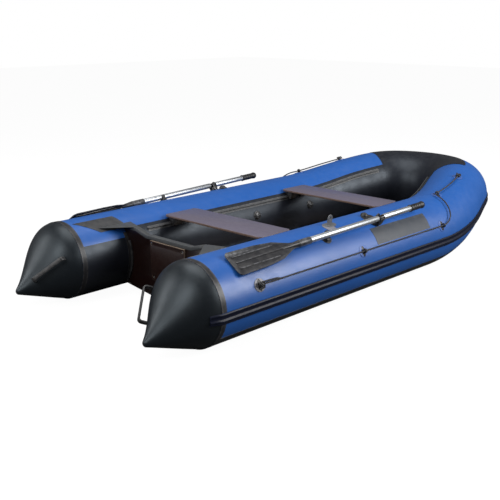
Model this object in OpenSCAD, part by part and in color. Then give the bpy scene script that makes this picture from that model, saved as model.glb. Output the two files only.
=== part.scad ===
// Inflatable dinghy: three air chambers, inflatable keel, slatted floor,
// wooden transom and seats, two oars in swivel locks, grab line and valves.
// +X is the bow, +Y is port, Z is up. The origin lies under the middle of the hull.
// Places along a tube are given as the distance s from the cone seam, measured along
// the tube's axis, and the angle phi round it: 0 is the top, 90 the outer side.

/* [Tubes] */
// Diameter of the air tubes
tube_d = 420; // [380:5:450]
// Distance between the axes of the two side tubes
tube_spacing = 1040; // [1000:5:1100]
// Length of the straight part of a side tube, from the cone seam
straight_len = 1845; // [1790:5:1950]
// Distance from the baffle that parts the chambers to the first bend
baffle_back = 105; // [80:5:140]
// Length of the stern cone up to its rounded tip
cone_len = 258; // [200:2:320]
// Height of the cone tip's centre above the bottom of the tube
cone_tip_h = 98; // [80:2:150]
// Radius of the rounded cone tip
cone_tip_r = 20; // [12:1:30]

/* [Bow] */
// Angle of the first, gentle bend of the bow
bend_a = 20; // [15:1:24]
// Radius of the first bend
bend_r = 1570; // [1400:10:1600]
// Straight leg between the two bends
bow_leg = 200; // [150:5:220]
// Rise of the tube's axis at the bow
bow_rise = 108; // [60:2:140]
// Length of tube over which the axis rises
rise_run = 976; // [850:5:1050]

/* [Skins] */
// Thickness of the welded skins, tapes and patches
skin_t = 1.2; // [0.8:0.1:2]
// Thickness of the reinforced bottom sheet
bottom_t = 1.8; // [1.6:0.1:2.4]
// Width of the tape over the cone seam
tape_w = 30; // [20:1:40]
// Angle from the top at which the dark inner wall begins, aft of the transom
wall_top = 60; // [52.5:7.5:60]
// Angle from the top at which the dark inner wall begins in the cockpit
wall_high = 45; // [45:7.5:52.5]
// Angle from the top at which the dark inner wall ends
wall_end = 127.5; // [120:7.5:135]
// Angle from the top at which the bottom wrap begins on the outer side
wrap_out = 127.5; // [120:7.5:135]
// Angle from the top at which the bottom wrap ends on the inner side
wrap_in = 142.5; // [135:7.5:150]
// Angle from the top of the outer edge of the bow cover
crown_a = 15; // [7.5:7.5:22.5]
// Distance of the bow cover's seam from the cone seam, measured along the axis
cover_s = 2640; // [2600:10:2700]
// Length of the bare patch on the starboard tube
patch_len = 515; // [400:5:520]
// Angles from the top of the bare patch's upper and lower edges
patch_top = 41; // [38:0.5:44]
patch_low = 65.5; // [60:0.5:68]

/* [Rubbing strake] */
// Width of the strake
strake_w = 54; // [40:1:60]
// Thickness of the strake at its ribs
strake_t = 11; // [8:0.5:14]
// Angle from the top of the strake's middle
strake_a = 95; // [90:1:100]

/* [Transom] */
// Distance of the transom's aft face from the cone seam
transom_s = 320; // [300:5:360]
// Thickness of the transom board
transom_t = 25; // [20:1:30]
// Height of the cut-out in the top of the transom
cutout_h = 354; // [340:2:370]
// Height of the transom's shoulders
shoulder_h = 378; // [372:2:384]
// Half width of the cut-out
cutout_w = 177; // [150:1:190]
// Thickness of the motor pads
pad_t = 10; // [6:1:14]
// Half width of the motor pads
pad_w = 135; // [110:1:145]
// Diameter of the drain's bore
drain_d = 26; // [20:1:30]

/* [Floor] */
// Thickness of the floorboards
board_t = 9; // [6:1:12]
// Length of one floorboard
board_len = 470; // [400:5:490]
// Diameter of the inflatable keel
keel_d = 78; // [70:1:88]

/* [Seats] */
// Width of the rear seat, along the boat
seat_rear_w = 240; // [200:5:260]
// Width of the front seat, along the boat
seat_front_w = 218; // [200:1:240]
// Thickness of the seat boards
seat_t = 12; // [10:1:16]
// Gap between a seat board's end and the tube beside it
seat_side_gap = 8; // [4:1:16]
// Height of the seats' top
seat_h = 386; // [384:1:392]
// Diameter of the seat track's bead
bead_d = 8; // [6:0.5:10]

/* [Oars] */
// Diameter of the oar shaft
shaft_d = 32; // [28:1:34]
// Wall of the oar shaft
shaft_wall = 1.5; // [1:0.1:2.5]
// Height of the tilt pin above the tube
lock_h = 46; // [44:0.5:52]
// Distance of the oarlock from the cone seam
lock_s = 1270; // [1200:5:1330]
// Angle from the top of the oarlock
lock_a = 33.4; // [30:0.2:35]
// Slope of the stowed oar
oar_slope = 1.9; // [1.6:0.1:2]
// Distance from the pin to the grip's end
oar_fore = 405; // [360:5:420]
// Distance from the pin to the blade's tip
oar_aft = 1120; // [1000:5:1140]
// Width of the blade at its tip
blade_w = 142; // [120:2:160]
// Length of the blade
blade_len = 455; // [400:5:480]
// Diameter of the swivel pin
pin_d = 12; // [10:0.5:14]
// Diameter of the tilt pin
tilt_d = 8; // [6:0.5:9]

/* [Valves and line] */
// Diameter of a valve's flange
valve_d = 54; // [50:1:60]
// Diameter of a valve's cap
cap_d = 42; // [38:1:46]
// Diameter of the grab line
rope_d = 8; // [6:0.5:9]
// Distance of the line's axis from the tube
rope_off = 13; // [10:0.5:16]

/* [Hidden] */

tube_r = tube_d / 2;
baffle_s = straight_len - baffle_back;
gap = 0.3;
run_gap = 0.05;
axis_y = tube_spacing / 2;
axis_z = tube_r + gap + skin_t;
sides = 48;
skin_in = tube_r + gap;
skin_out = skin_in + skin_t;
ring_fn = 96;

// The bow: first bend, leg, second bend with the radius that closes the curve
bow_r = (axis_y - bend_r * (1 - cos(bend_a)) - bow_leg * sin(bend_a)) / cos(bend_a);
s_bend = straight_len + bend_r * bend_a * PI / 180;
s_leg = s_bend + bow_leg;
s_bow = s_leg + bow_r * (90 - bend_a) * PI / 180;
bow_x = straight_len + bend_r * sin(bend_a) + bow_leg * cos(bend_a) + bow_r * (1 - sin(bend_a));
stem_x = bow_x + skin_out + strake_t;
stern_x = -(stem_x - cone_len - cone_tip_r) / 2;

// Heading, plan place, height and slope of the starboard axis at s
function heading(s) =
    s <= straight_len ? 0 :
    s <= s_bend ? (s - straight_len) / bend_r * 180 / PI :
    s <= s_leg ? bend_a :
    bend_a + (s - s_leg) / bow_r * 180 / PI;
function plan(s) =
    s <= straight_len ? [s, -axis_y] :
    s <= s_bend ? [straight_len + bend_r * sin(heading(s)), -axis_y + bend_r * (1 - cos(heading(s)))] :
    s <= s_leg ? plan(s_bend) + (s - s_bend) * [cos(bend_a), sin(bend_a)] :
    plan(s_leg) + bow_r * [sin(heading(s)) - sin(bend_a), cos(bend_a) - cos(heading(s))];
function run(s) = min(1, max(0, (s - straight_len) / rise_run));
function height(s) = axis_z + bow_rise * (1 - cos(180 * run(s))) / 2;
function slope(s) = run(s) <= 0 || run(s) >= 1 ? 0 :
    atan(bow_rise * PI / 2 / rise_run * sin(180 * run(s)));
function axis_pt(s) = [stern_x + plan(s)[0], plan(s)[1], height(s)];
// A point r from the axis at the angle phi, on the starboard side
function tube_pt(s, phi, r) =
    axis_pt(s) + r * [sin(phi) * sin(heading(s)), -sin(phi) * cos(heading(s)), cos(phi)];
function flip(p) = [p[0], -p[1], p[2]];

// Stations of the bow from the starboard baffle to the middle; the cover starts at one
bend_steps = 8;
leg_steps = 2;
bow_steps = 9;
bow_from = baffle_s + gap + skin_t;
bend_stations = [for (i = [1 : bend_steps]) straight_len + (s_bend - straight_len) * i / bend_steps];
leg_stations = [for (i = [1 : leg_steps]) s_bend + bow_leg * i / leg_steps];
cover_stations = [for (i = [0 : bow_steps]) cover_s + (s_bow - cover_s) * i / bow_steps];
half_stations = concat([bow_from, straight_len], bend_stations, leg_stations, cover_stations);

// Solid from closed rings of equal length, one after the other, with flat ends;
// seen from the first ring towards the last, each ring runs clockwise
module loft(rings) {
    n = len(rings[0]);
    m = len(rings);
    skin = [for (i = [0 : m - 2], j = [0 : n - 1]) each [
        [i * n + j, (i + 1) * n + j, i * n + (j + 1) % n],
        [i * n + (j + 1) % n, (i + 1) * n + j, (i + 1) * n + (j + 1) % n]
    ]];
    first = [[for (j = [0 : n - 1]) j]];
    last = [[for (j = [n - 1 : -1 : 0]) (m - 1) * n + j]];
    polyhedron([for (r = rings) each r], concat(skin, first, last), convexity = 8);
}
// A closed loop of [r, phi] carried along the starboard tube, or right round the bow
function side_rings(loop, stations) = [for (s = stations) [for (q = loop) tube_pt(s, q[1], q[0])]];
module side_sweep(loop, stations) {
    loft(side_rings(loop, stations));
}
module bow_sweep(loop, stations = half_stations) {
    stbd = side_rings(loop, stations);
    port = [for (i = [len(stations) - 2 : -1 : 0]) [for (p = stbd[i]) flip(p)]];
    loft(concat(stbd, port));
}

// Band between two angles as a loop; the same steps as the tube's, so faces stay parallel
function band(r0, r1, a0, a1) = let (k = round((a1 - a0) * sides / 360)) concat(
    [for (i = [0 : k]) [r1, a0 + (a1 - a0) * i / k]],
    [for (i = [k : -1 : 0]) [r0, a0 + (a1 - a0) * i / k]]
);

// Children given for starboard, drawn on the side asked for
module on_side(side) {
    if (side == "port") mirror([0, 1, 0]) children();
    else children();
}
module both_sides() {
    on_side("starboard") children();
    on_side("port") children();
}
// Local frame on the starboard tube's surface: X along it, Z away from it
module on_tube(s, phi) {
    tilt = slope(s);
    translate(tube_pt(s, phi, tube_r)) rotate([0, 0, heading(s)]) rotate([0, -tilt, 0])
        rotate([atan2(sin(phi), cos(phi) / cos(tilt)), 0, 0]) children();
}
// Axis of the straight tube, with Z pointing to the bow and X to the top
module along_tube(s) {
    translate([stern_x + s, -axis_y, axis_z]) rotate([0, 90, 0]) rotate([0, 0, 180]) children();
}
// Exact shell round the straight tube between two angles
module arc_shell(s0, s1, r0, r1, a0, a1) {
    along_tube(s0) rotate([0, 0, a0]) rotate_extrude(angle = a1 - a0, $fn = ring_fn)
        translate([r0, 0]) square([r1 - r0, s1 - s0]);
}
// Exact cylinder on the straight tube's axis
module axis_cylinder(s0, s1, r) {
    along_tube(s0) cylinder(r = r, h = s1 - s0, $fn = ring_fn);
}
// Cuts away, in the frame of on_tube, what would lie inside the radius r
module under_tube(half, r) {
    translate([-half, 0, -tube_r]) rotate([0, 90, 0]) cylinder(r = r, h = 2 * half, $fn = ring_fn);
}
// Slab with round ends, long along Y
module stadium(len_y, width, t) {
    d = len_y / 2 - width / 2;
    translate([-width / 2, -d, 0]) cube([width, 2 * d, t]);
    for (y = [-d, d]) translate([0, y, 0]) cylinder(d = width, h = t, $fn = 48);
}

valve_places = [["port", 1331, 74], ["starboard", 1331, 74], ["port", straight_len, 77]];
pocket_d = 40;
pocket_h = 30;
module valve_pocket(i) {
    p = valve_places[i];
    on_side(p[0]) on_tube(p[1], -p[2]) translate([0, 0, -pocket_h])
        cylinder(d = pocket_d, h = pocket_h + 9, $fn = 48);
}
module valve_hole(i) {
    p = valve_places[i];
    on_side(p[0]) on_tube(p[1], -p[2]) translate([0, 0, -20]) cylinder(d = valve_d + 2, h = 40, $fn = 48);
}

// ---- air chambers
module side_chamber(side, valve) {
    color("royalblue") difference() {
        on_side(side) axis_cylinder(0, baffle_s, tube_r);
        valve_pocket(valve);
    }
}
module port_chamber() side_chamber("port", 0);
module starboard_chamber() side_chamber("starboard", 1);
module bow_chamber() {
    color("royalblue") difference() {
        bow_sweep([for (i = [0 : sides - 1]) [tube_r, 360 * i / sides]]);
        valve_pocket(2);
    }
}
// Baffles that part the chambers
module baffles() {
    from = baffle_s + gap / 2;
    color("dimgray") both_sides() axis_cylinder(from, from + skin_t, tube_r - 1);
}

// ---- stern cones: the bottom line rises evenly, the rest bulges like an ogive
cone_steps = 7;
cone_bulge = 46;
function cone_r(t) = tube_r + (cone_tip_r - tube_r) * t + cone_bulge * sin(180 * t) * (1 - t);
function cone_z(t) = axis_z - tube_r + (cone_tip_h - cone_tip_r) * t + cone_r(t);
tip_steps = 3;
function cone_pt(x, phi, r, z) = [stern_x - x, -axis_y - r * sin(phi), z + r * cos(phi)];
function cone_ring(x, r, z) = [for (j = [0 : sides - 1]) cone_pt(x, 360 * j / sides, r, z)];
module cone(side) {
    body = [for (i = [cone_steps : -1 : 0]) let (t = i / cone_steps)
        cone_ring(gap + (cone_len - gap) * t, cone_r(t), cone_z(t))];
    tip = [for (k = [tip_steps : -1 : 1]) let (a = 80 * k / tip_steps)
        cone_ring(cone_len + cone_tip_r * sin(a), cone_tip_r * cos(a), cone_z(1))];
    color("#33363b") on_side(side) loft(concat(tip, body));
}
module port_cone() cone("port");
module starboard_cone() cone("starboard");
// The tape leaves room for the strake
module cone_seam_tapes() {
    free = strake_half + 0.4;
    color("#222326") both_sides()
        arc_shell(1, tape_w, skin_in, skin_out, strake_a + free, strake_a + 360 - free);
}

// ---- dark skins
// The wall stops below the seat track, and on both sides of the transom's holder
module inner_wall(side, valve) {
    holder_mid = transom_s + transom_t / 2;
    aft = holder_mid - holder_w / 2 - 1;
    fore = holder_mid + holder_w / 2 + 1;
    color("#2b2d31") {
        on_side(side) arc_shell(tape_w + 1, aft, skin_in, skin_out, -wall_end, -wall_top);
        on_side(side) arc_shell(fore, track_from - 2, skin_in, skin_out, -wall_end, -wall_high);
        difference() {
            on_side(side) arc_shell(track_from - 1, baffle_s, skin_in, skin_out, -wall_end, track_low);
            valve_hole(valve);
        }
    }
}
module port_inner_wall() inner_wall("port", 0);
module starboard_inner_wall() inner_wall("starboard", 1);
// Dark lining of the bow's inner side, which reaches over the crown in front
module bow_cover() {
    color("#2b2d31") difference() {
        union() {
            bow_sweep(band(skin_in, skin_out, -wall_end, -wall_high - 15));
            bow_sweep(band(skin_in, skin_out, -wall_high - 15, crown_a), cover_stations);
        }
        valve_hole(2);
    }
}
module bottom_wrap(side) {
    color("#1f2023") on_side(side)
        arc_shell(tape_w + 1, baffle_s, skin_in, skin_out, wrap_out, 360 - wrap_in);
}
module bottom_wrap_port() bottom_wrap("port");
module bottom_wrap_starboard() bottom_wrap("starboard");
module bottom_wrap_bow() {
    color("#1f2023") bow_sweep(band(skin_in, skin_out, wrap_out, 360 - wrap_in));
}

// ---- bottom sheet, a shallow V between the wraps
keel_z = 4;
sheet_a = -(wrap_in - 4);
function sheet_edge(s) = tube_pt(s, sheet_a, skin_out + gap);
function sheet_keel(s) = [sheet_edge(s)[0], 0,
    keel_z + (sheet_edge(s_bow)[2] - keel_z - 6) * pow(run(s), 1.6)];
sheet_bow = [for (s = half_stations) if (s > baffle_s + 10 && s < s_bow - 60) s];
sheet_s = concat([transom_s, baffle_s], sheet_bow);
// A sheet through rows of points, thickened upwards; both faces are split along the same diagonals
module sheet(rows, t) {
    m = len(rows[0]);
    n = len(rows);
    low = [for (r = rows) each r];
    up = n * m;
    cells = [for (i = [0 : n - 2], j = [0 : m - 2]) let (a = i * m + j, b = a + m)
        each [[a, a + 1, b], [a + 1, b + 1, b]]];
    rim = concat([for (j = [0 : m - 1]) j], [for (i = [1 : n - 1]) i * m + m - 1],
        [for (j = [m - 2 : -1 : 0]) (n - 1) * m + j], [for (i = [n - 2 : -1 : 1]) i * m]);
    sides = [for (i = [0 : len(rim) - 1]) let (a = rim[i], b = rim[(i + 1) % len(rim)])
        each [[a, b, a + up], [b, b + up, a + up]]];
    polyhedron(concat(low, [for (p = low) p + [0, 0, t]]),
        concat([for (f = cells) [f[2], f[1], f[0]]], [for (f = cells) f + [up, up, up]], sides), convexity = 8);
}
module bottom_sheet() {
    color("#1f2023") sheet([for (s = sheet_s) let (e = sheet_edge(s)) [e, sheet_keel(s), flip(e)]], bottom_t);
}
// Height of the bottom sheet's top at the distance y from the middle, aft of the bend
function sheet_top(y) = keel_z + bottom_t + (sheet_edge(0)[2] - keel_z) * abs(y) / abs(sheet_edge(0)[1]);

// ---- floor: boards that rest on the inflatable keel and between the tubes
keel_from = transom_s + transom_t + 6;
keel_end = 40;
function keel_ring(s, r) = let (c = sheet_keel(s) + [0, 0, bottom_t + gap + r])
    [for (j = [0 : 23]) c + r * [0, cos(15 * j), sin(15 * j)]];
module keel_chamber() {
    nose = [for (i = [0 : 4]) [bend_stations[i], keel_d / 2 * (1 - 0.1 * pow(i + 1, 1.2))]];
    body = [for (s = [keel_from + keel_end, baffle_s, straight_len]) [s, keel_d / 2]];
    color("#3a3c40") loft([for (q = concat([[keel_from, keel_d / 3]], body, nose)) keel_ring(q[0], q[1])]);
}
flange_t = 3;
floor_low = sheet_top(0) + gap + keel_d + gap + flange_t;
floor_h = floor_low + board_t;
// Place of the starboard board edge at s: the inner wall at the boards' height
function reach(s) = sqrt(pow(skin_out, 2) - pow(height(s) - floor_h - 4, 2)) + gap;
function board_edge(s) = plan(s) + (reach(s) + stringer_w / 2) * [-sin(heading(s)), cos(heading(s))];
stringer_w = 24;
floor_w = axis_y - reach(0) - stringer_w / 2;
joiner_w = 14;
floor_from = transom_s + transom_t + 22;
board_pitch = board_len + 2 + gap * 2;
nose_from = floor_from + 3 * board_pitch;
nose_len = 400;
module floorboards() {
    color("#6b5a45") {
        for (i = [0 : 2])
            translate([stern_x + floor_from + i * board_pitch, -floor_w, floor_low])
                cube([board_len, 2 * floor_w, board_t]);
        side = [for (i = [0 : 5]) board_edge(nose_from + nose_len * i / 5)];
        translate([stern_x, 0, floor_low]) linear_extrude(board_t)
            polygon(concat(side, [for (i = [5 : -1 : 0]) [side[i][0], -side[i][1]]]));
    }
}
module floor_stringers() {
    h = board_t + 2 * flange_t;
    len_x = 3 * board_pitch - joiner_w;
    color("silver") for (side = [-1, 1])
        translate([stern_x + floor_from, side * floor_w, floor_h - board_t / 2]) difference() {
            translate([0, -stringer_w / 2, -h / 2]) cube([len_x, stringer_w, h]);
            translate([-1, side > 0 ? -stringer_w : -gap, -board_t / 2 - gap])
                cube([len_x + 2, stringer_w + gap, board_t + 2 * gap]);
        }
}
// H-shaped joiners between the floorboards
module floor_joiners() {
    h = board_t + 2 * flange_t;
    color("silver") for (i = [1 : 3])
        translate([stern_x + floor_from + i * board_pitch - 1 - gap, 0, floor_h - board_t / 2])
            difference() {
                translate([-joiner_w / 2, -floor_w + 16, -h / 2]) cube([joiner_w, 2 * floor_w - 32, h]);
                for (x = [-joiner_w / 2 - 1, 1]) translate([x, -floor_w, -board_t / 2 - gap])
                    cube([joiner_w / 2, 2 * floor_w, board_t + 2 * gap]);
            }
}

// ---- rubbing strake: a hollow-looking profile with three ribs
strake_half = strake_w / 2 / tube_r * 180 / PI;
function strake_loop() = let (a = strake_a, h = strake_half, r = skin_in) [
    [r, a - h], [r + strake_t * 0.45, a - h], [r + strake_t * 0.7, a - h * 0.75],
    [r + strake_t * 0.35, a - h * 0.5], [r + strake_t * 0.35, a - h * 0.05],
    [r + strake_t, a + h * 0.2], [r + strake_t, a + h * 0.45], [r + strake_t * 0.6, a + h * 0.6],
    [r + strake_t * 0.8, a + h * 0.85], [r + strake_t * 0.3, a + h], [r, a + h],
    [r, a + h / 3], [r, a - h / 3]];
tail_len = 58;
cone_step = gap + (cone_len - gap) / cone_steps;
// The strake ends in a short tail that follows the cone
module strake(side) {
    tail = [for (x = [tail_len, cone_step, cone_step / 2, 0]) let (t = x / cone_len)
        [for (q = strake_loop()) cone_pt(x, q[1], q[0] - tube_r + cone_r(t), cone_z(t))]];
    color("#1a2240") on_side(side) loft(concat(tail, side_rings(strake_loop(), [baffle_s])));
}
module strake_port() strake("port");
module strake_starboard() strake("starboard");
module strake_bow() {
    color("#1a2240") bow_sweep(strake_loop());
}

// ---- patches
patch_s = 1190;
module patch_starboard() {
    color("#6f7377") arc_shell(patch_s, patch_s + patch_len, skin_in, skin_out, patch_top, patch_low);
}
// Dark patches beside the transom, with the aft inner corner cut at 45 degrees
corner_s = 58;
corner_a = -46;
module stern_patches() {
    color("#303236") both_sides() difference() {
        arc_shell(corner_s, transom_s + transom_t, skin_in, skin_out, corner_a, -14);
        on_tube(corner_s, corner_a) translate([0, 0, -20]) rotate([0, 0, 45])
            translate([-140, -100, 0]) cube([140, 300, 60]);
    }
}

// ---- transom
holder_w = 62;
holder_t = 3;
holder_r = skin_in + holder_t;
transom_x = stern_x + transom_s;
shoulder_y = cutout_w + 84;
// Distance of the tube's inner side from the middle at the height z, with a skin and a gap
function tube_side(z) = axis_y - sqrt(pow(skin_out, 2) - pow(z - axis_z, 2)) - gap;
module transom_outline() {
    edge = axis_y - tube_r * 0.6;
    difference() {
        polygon([[-edge, shoulder_h], [-shoulder_y, shoulder_h], [-cutout_w, cutout_h],
            [cutout_w, cutout_h], [shoulder_y, shoulder_h], [edge, shoulder_h],
            [edge, sheet_top(edge) + gap], [0, sheet_top(0) + gap], [-edge, sheet_top(edge) + gap]]);
        for (side = [-1, 1]) translate([side * axis_y, axis_z]) circle(r = holder_r + gap, $fn = ring_fn);
    }
}
// Draws a YZ outline as a plate along X from x0, t thick
module plate(x0, t) {
    translate([x0, 0, 0]) rotate([90, 0, 90]) linear_extrude(t) children();
}
drain_y = -200;
drain_z = 86;
module transom_board() {
    color("#2a120d") difference() {
        plate(transom_x, transom_t) transom_outline();
        translate([transom_x - 1, drain_y, drain_z]) rotate([0, 90, 0])
            cylinder(d = drain_d, h = transom_t + 2, $fn = 48);
        screw_places() translate([-1, 0, 0]) rotate([0, 90, 0])
            cylinder(d = screw_d, h = transom_t + 2, $fn = 24);
    }
}
cap_t = 3;
cap_drop = 16;
module transom_cap() {
    color("#4b4e52") difference() {
        plate(transom_x - gap - cap_t, transom_t + 2 * (gap + cap_t)) cap_outline(cap_drop, cap_t + gap);
        plate(transom_x - gap, transom_t + 2 * gap) cap_outline(cap_drop + 1, gap);
    }
}
// Band that follows the top edge, from drop below it to lift above it
module cap_outline(drop, lift) {
    w = shoulder_y;
    end = w + 52;
    polygon([[-end, shoulder_h - drop], [-w, shoulder_h - drop], [-cutout_w, cutout_h - drop],
        [cutout_w, cutout_h - drop], [w, shoulder_h - drop], [end, shoulder_h - drop],
        [end, shoulder_h + lift], [w, shoulder_h + lift], [cutout_w, cutout_h + lift],
        [-cutout_w, cutout_h + lift], [-w, shoulder_h + lift], [-end, shoulder_h + lift]]);
}
// Rubber channels that grip the transom's ends round the tubes
module transom_holders() {
    mid = transom_s + transom_t / 2;
    lip = 9;
    color("#3b3f44") both_sides() {
        arc_shell(mid - holder_w / 2, mid + holder_w / 2, skin_in, holder_r, -134, -52);
        for (x = [transom_s - gap - lip, transom_s + transom_t + gap])
            arc_shell(x, x + lip, holder_r - 0.1, holder_r + 16, -130, -66);
    }
}
// Webs between the transom's shoulders and the tubes, aft of the board
module transom_gussets() {
    z0 = shoulder_h + cap_t + 2 * gap;
    wide = tube_side(z0) - 1;
    inner = shoulder_y + 16;
    color("#6f7377") both_sides()
        translate([0, 0, z0]) linear_extrude(skin_t)
            polygon([[transom_x - 150, -wide], [transom_x + transom_t + 40, -wide],
                [transom_x + transom_t + 4, -inner], [transom_x - 4, -inner]]);
}
pad_top = 335;
pad_low = 118;
module pad_outline() {
    polygon([[-pad_w, pad_top], [pad_w, pad_top], [pad_w - 8, pad_low], [-pad_w + 8, pad_low]]);
}
screw_d = 8;
head_d = 14;
head_h = 4.2;
module screw_places() {
    for (p = [[-122, pad_top - 16], [122, pad_top - 16], [-112, pad_low + 20], [112, pad_low + 20]])
        translate([transom_x, p[0], p[1]]) children();
}
module motor_pad(x0) {
    difference() {
        plate(x0, pad_t) pad_outline();
        screw_places() rotate([0, 90, 0]) {
            translate([0, 0, -60]) cylinder(d = screw_d, h = 120, $fn = 24);
            for (z = [-pad_t - 1, transom_t + pad_t - head_h])
                translate([0, 0, z]) cylinder(d = head_d + 1, h = head_h + 1, $fn = 24);
        }
    }
}
module motor_pads() {
    color("#33150e") {
        motor_pad(transom_x - pad_t);
        motor_pad(transom_x + transom_t);
    }
}
// Heads and nuts are let in flush with the pads' faces
module pad_screws() {
    whole = transom_t + 2 * pad_t - 2 * gap;
    color("silver") screw_places() rotate([0, 90, 0]) {
        translate([0, 0, -pad_t + gap]) cylinder(d = screw_d - 0.1, h = whole, $fn = 24);
        translate([0, 0, -pad_t + gap]) cylinder(d = head_d, h = head_h - 2 * gap, $fn = 24);
        translate([0, 0, transom_t + pad_t - head_h + gap])
            cylinder(d = head_d, h = head_h - 2 * gap, $fn = 6);
    }
}
drain_bore = 16;
module drain_valve() {
    color("#222326") translate([transom_x, drain_y, drain_z]) rotate([0, 90, 0]) difference() {
        union() {
            translate([0, 0, -5]) cylinder(d = drain_d + 18, h = 5, $fn = 48);
            translate([0, 0, -5]) cylinder(d = drain_d - 0.1, h = transom_t + 9, $fn = 48);
            translate([0, 0, transom_t]) cylinder(d = drain_d + 12, h = 4, $fn = 48);
        }
        translate([0, 0, -6]) cylinder(d = drain_bore, h = transom_t + 12, $fn = 48);
    }
}
module drain_plug() {
    color("#3a3c40") translate([transom_x, drain_y, drain_z]) rotate([0, 90, 0]) {
        translate([0, 0, -6]) cylinder(d = drain_bore - 2 * run_gap, h = 23, $fn = 48);
        translate([0, 0, -11]) cylinder(d = drain_d + 6, h = 5.8, $fn = 48);
        translate([-3, -drain_d / 2, -19]) cube([6, drain_d, 8.5]);
    }
}

// ---- seats on their tracks
track_top = -wall_high;
track_a = track_top - 10;
track_from = 470;
track_to = straight_len;
track_end = 2570;
track_r = skin_out + gap + 1.8;
bead_r = track_r + bead_d / 2 + 2;
track_w = 4;
track_low = track_a - track_w - 0.5;
track_stem = 1.5;
// Half the angle that a width takes at a radius
function half_angle(w, r) = w / 2 / r * 180 / PI;
function track_loop() = let (
    r0 = track_r - gap,
    a = track_a,
    k = half_angle(2 * track_stem, r0),
    b = half_angle(bead_d, bead_r))
    concat([for (i = [4 : -1 : 0]) [skin_in, a - track_w + (track_top - a + track_w) * i / 4]],
        [[r0, a - track_w], [r0, a - k]],
        [[bead_r - bead_d * 0.45, a - k], [bead_r, a - b], [bead_r + bead_d / 2, a - b / 3],
        [bead_r + bead_d / 2, a + b / 3], [bead_r, a + b], [bead_r - bead_d * 0.45, a + k]],
        [[r0, a + k], [r0, (a + k + track_top) / 2], [r0, track_top]]);
// Round bead on a welded band: straight for the seats, then bent round to the bow cover
module seat_tracks() {
    leg = [for (s = leg_stations) if (s < track_end - 20) s];
    bent = concat([track_to], bend_stations, leg, [track_end]);
    color("#54575c") both_sides() {
        along_tube(track_from) linear_extrude(track_to - gap - track_from)
            polygon([for (q = track_loop()) q[0] * [cos(q[1]), sin(q[1])]]);
        side_sweep(track_loop(), bent);
    }
}
seat_rear_s = 620;
seat_front_s = straight_len - 213;
seat_low = seat_h - seat_t;
seat_len = 2 * (axis_y - sqrt(pow(tube_r, 2) - pow(seat_low - axis_z, 2)) - seat_side_gap);
module seat_board(x0, w) {
    corner = 20;
    color("#8d7f8e") translate([stern_x + x0, -seat_len / 2, seat_low]) difference() {
        cube([w, seat_len, seat_t]);
        for (x = [0, w], y = [0, seat_len]) translate([x, y, -1]) rotate([0, 0, 45])
            cube([corner, corner, 2 * seat_t + 4], center = true);
    }
}
// Sliding shoes: a block under each end of the board, with a channel round the bead
shoe_inset = 24;
shoe_w = 60;
module seat_shoes(x0, w) {
    top = seat_low;
    end = seat_len / 2 - 8;
    bead_y = axis_y + bead_r * sin(track_a);
    foot = axis_z + bead_r * cos(track_a) - bead_d / 2 - 10;
    in = bead_y - 30;
    color("#222326") both_sides() for (x = [x0 + shoe_inset, x0 + w - shoe_inset - shoe_w])
        plate(stern_x + x, shoe_w) difference() {
            polygon([[-end, top], [-in, top], [-in, top - 14], [14 - bead_y, foot],
                [-bead_y - 12, foot], [-end, top - 16]]);
            translate([-axis_y, axis_z]) circle(r = track_r + gap + 0.2, $fn = ring_fn);
            translate([-axis_y, axis_z]) rotate(90 + track_a) {
                translate([bead_r, 0]) circle(d = bead_d + 2 * gap, $fn = 32);
                translate([bead_r - bead_d, -track_stem - gap]) square([bead_d, 2 * (track_stem + gap)]);
            }
        }
}
module seat_rear() seat_board(seat_rear_s, seat_rear_w);
module seat_rear_slides() seat_shoes(seat_rear_s, seat_rear_w);
module seat_front() seat_board(seat_front_s, seat_front_w);
module seat_front_slides() seat_shoes(seat_front_s, seat_front_w);

// ---- oars; the local frame lies at the pin, X to the bow, Z away from the tube
module at_lock(side) {
    on_side(side) on_tube(lock_s, lock_a) children();
}
module at_oar(side) {
    at_lock(side) translate([0, 0, lock_h]) rotate([0, -oar_slope, 0]) children();
}
core_d = 26;
core_half = 24;
fork_gap = core_d / 2 + 2;
fork_wall = 7;
boss_h = 9;
fork_low = boss_h + 0.2;
fork_floor = fork_low + 14;
module oarlock_bases() {
    color("#26282b") both_sides() {
        at_lock("starboard") {
            difference() {
                translate([0, 42, -26]) stadium(112, 84, 34);
                under_tube(80, skin_in);
                translate([-80, 0, -tube_r]) rotate([0, 90, 0]) difference() {
                    cylinder(r = tube_r + 90, h = 160, $fn = ring_fn);
                    translate([0, 0, -1]) cylinder(r = skin_in + 4, h = 162, $fn = ring_fn);
                }
            }
            translate([0, 0, 2]) cylinder(d = 40, h = boss_h - 2, $fn = 48);
            translate([0, 0, 2]) cylinder(d = pin_d, h = fork_floor - 2.2, $fn = 48);
        }
        on_tube(lock_s - 6, lock_a - 23) translate([0, 0, 2.5]) rotate_extrude($fn = 48)
            polygon([[0, 0], [21, 0], [21, 6], [17, 13], [10, 17], [0, 18]]);
    }
}
module fork(side) {
    color("#1d1e21") at_lock(side) difference() {
        union() {
            translate([0, 0, fork_low])
                cylinder(d = 2 * (fork_gap + fork_wall), h = fork_floor - fork_low, $fn = 48);
            for (y = [-fork_gap - fork_wall, fork_gap]) {
                translate([-14, y, 12]) cube([28, fork_wall, lock_h - 12]);
                translate([0, y, lock_h]) rotate([-90, 0, 0]) cylinder(d = 28, h = fork_wall, $fn = 48);
            }
        }
        translate([0, 0, 5]) cylinder(d = pin_d + 2 * run_gap, h = 30, $fn = 48);
        translate([-20, -fork_gap, fork_floor]) cube([40, 2 * fork_gap, 60]);
        translate([0, -60, lock_h]) rotate([-90, 0, 0]) cylinder(d = tilt_d, h = 120, $fn = 32);
    }
}
module fork_port() fork("port");
module fork_starboard() fork("starboard");
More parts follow.
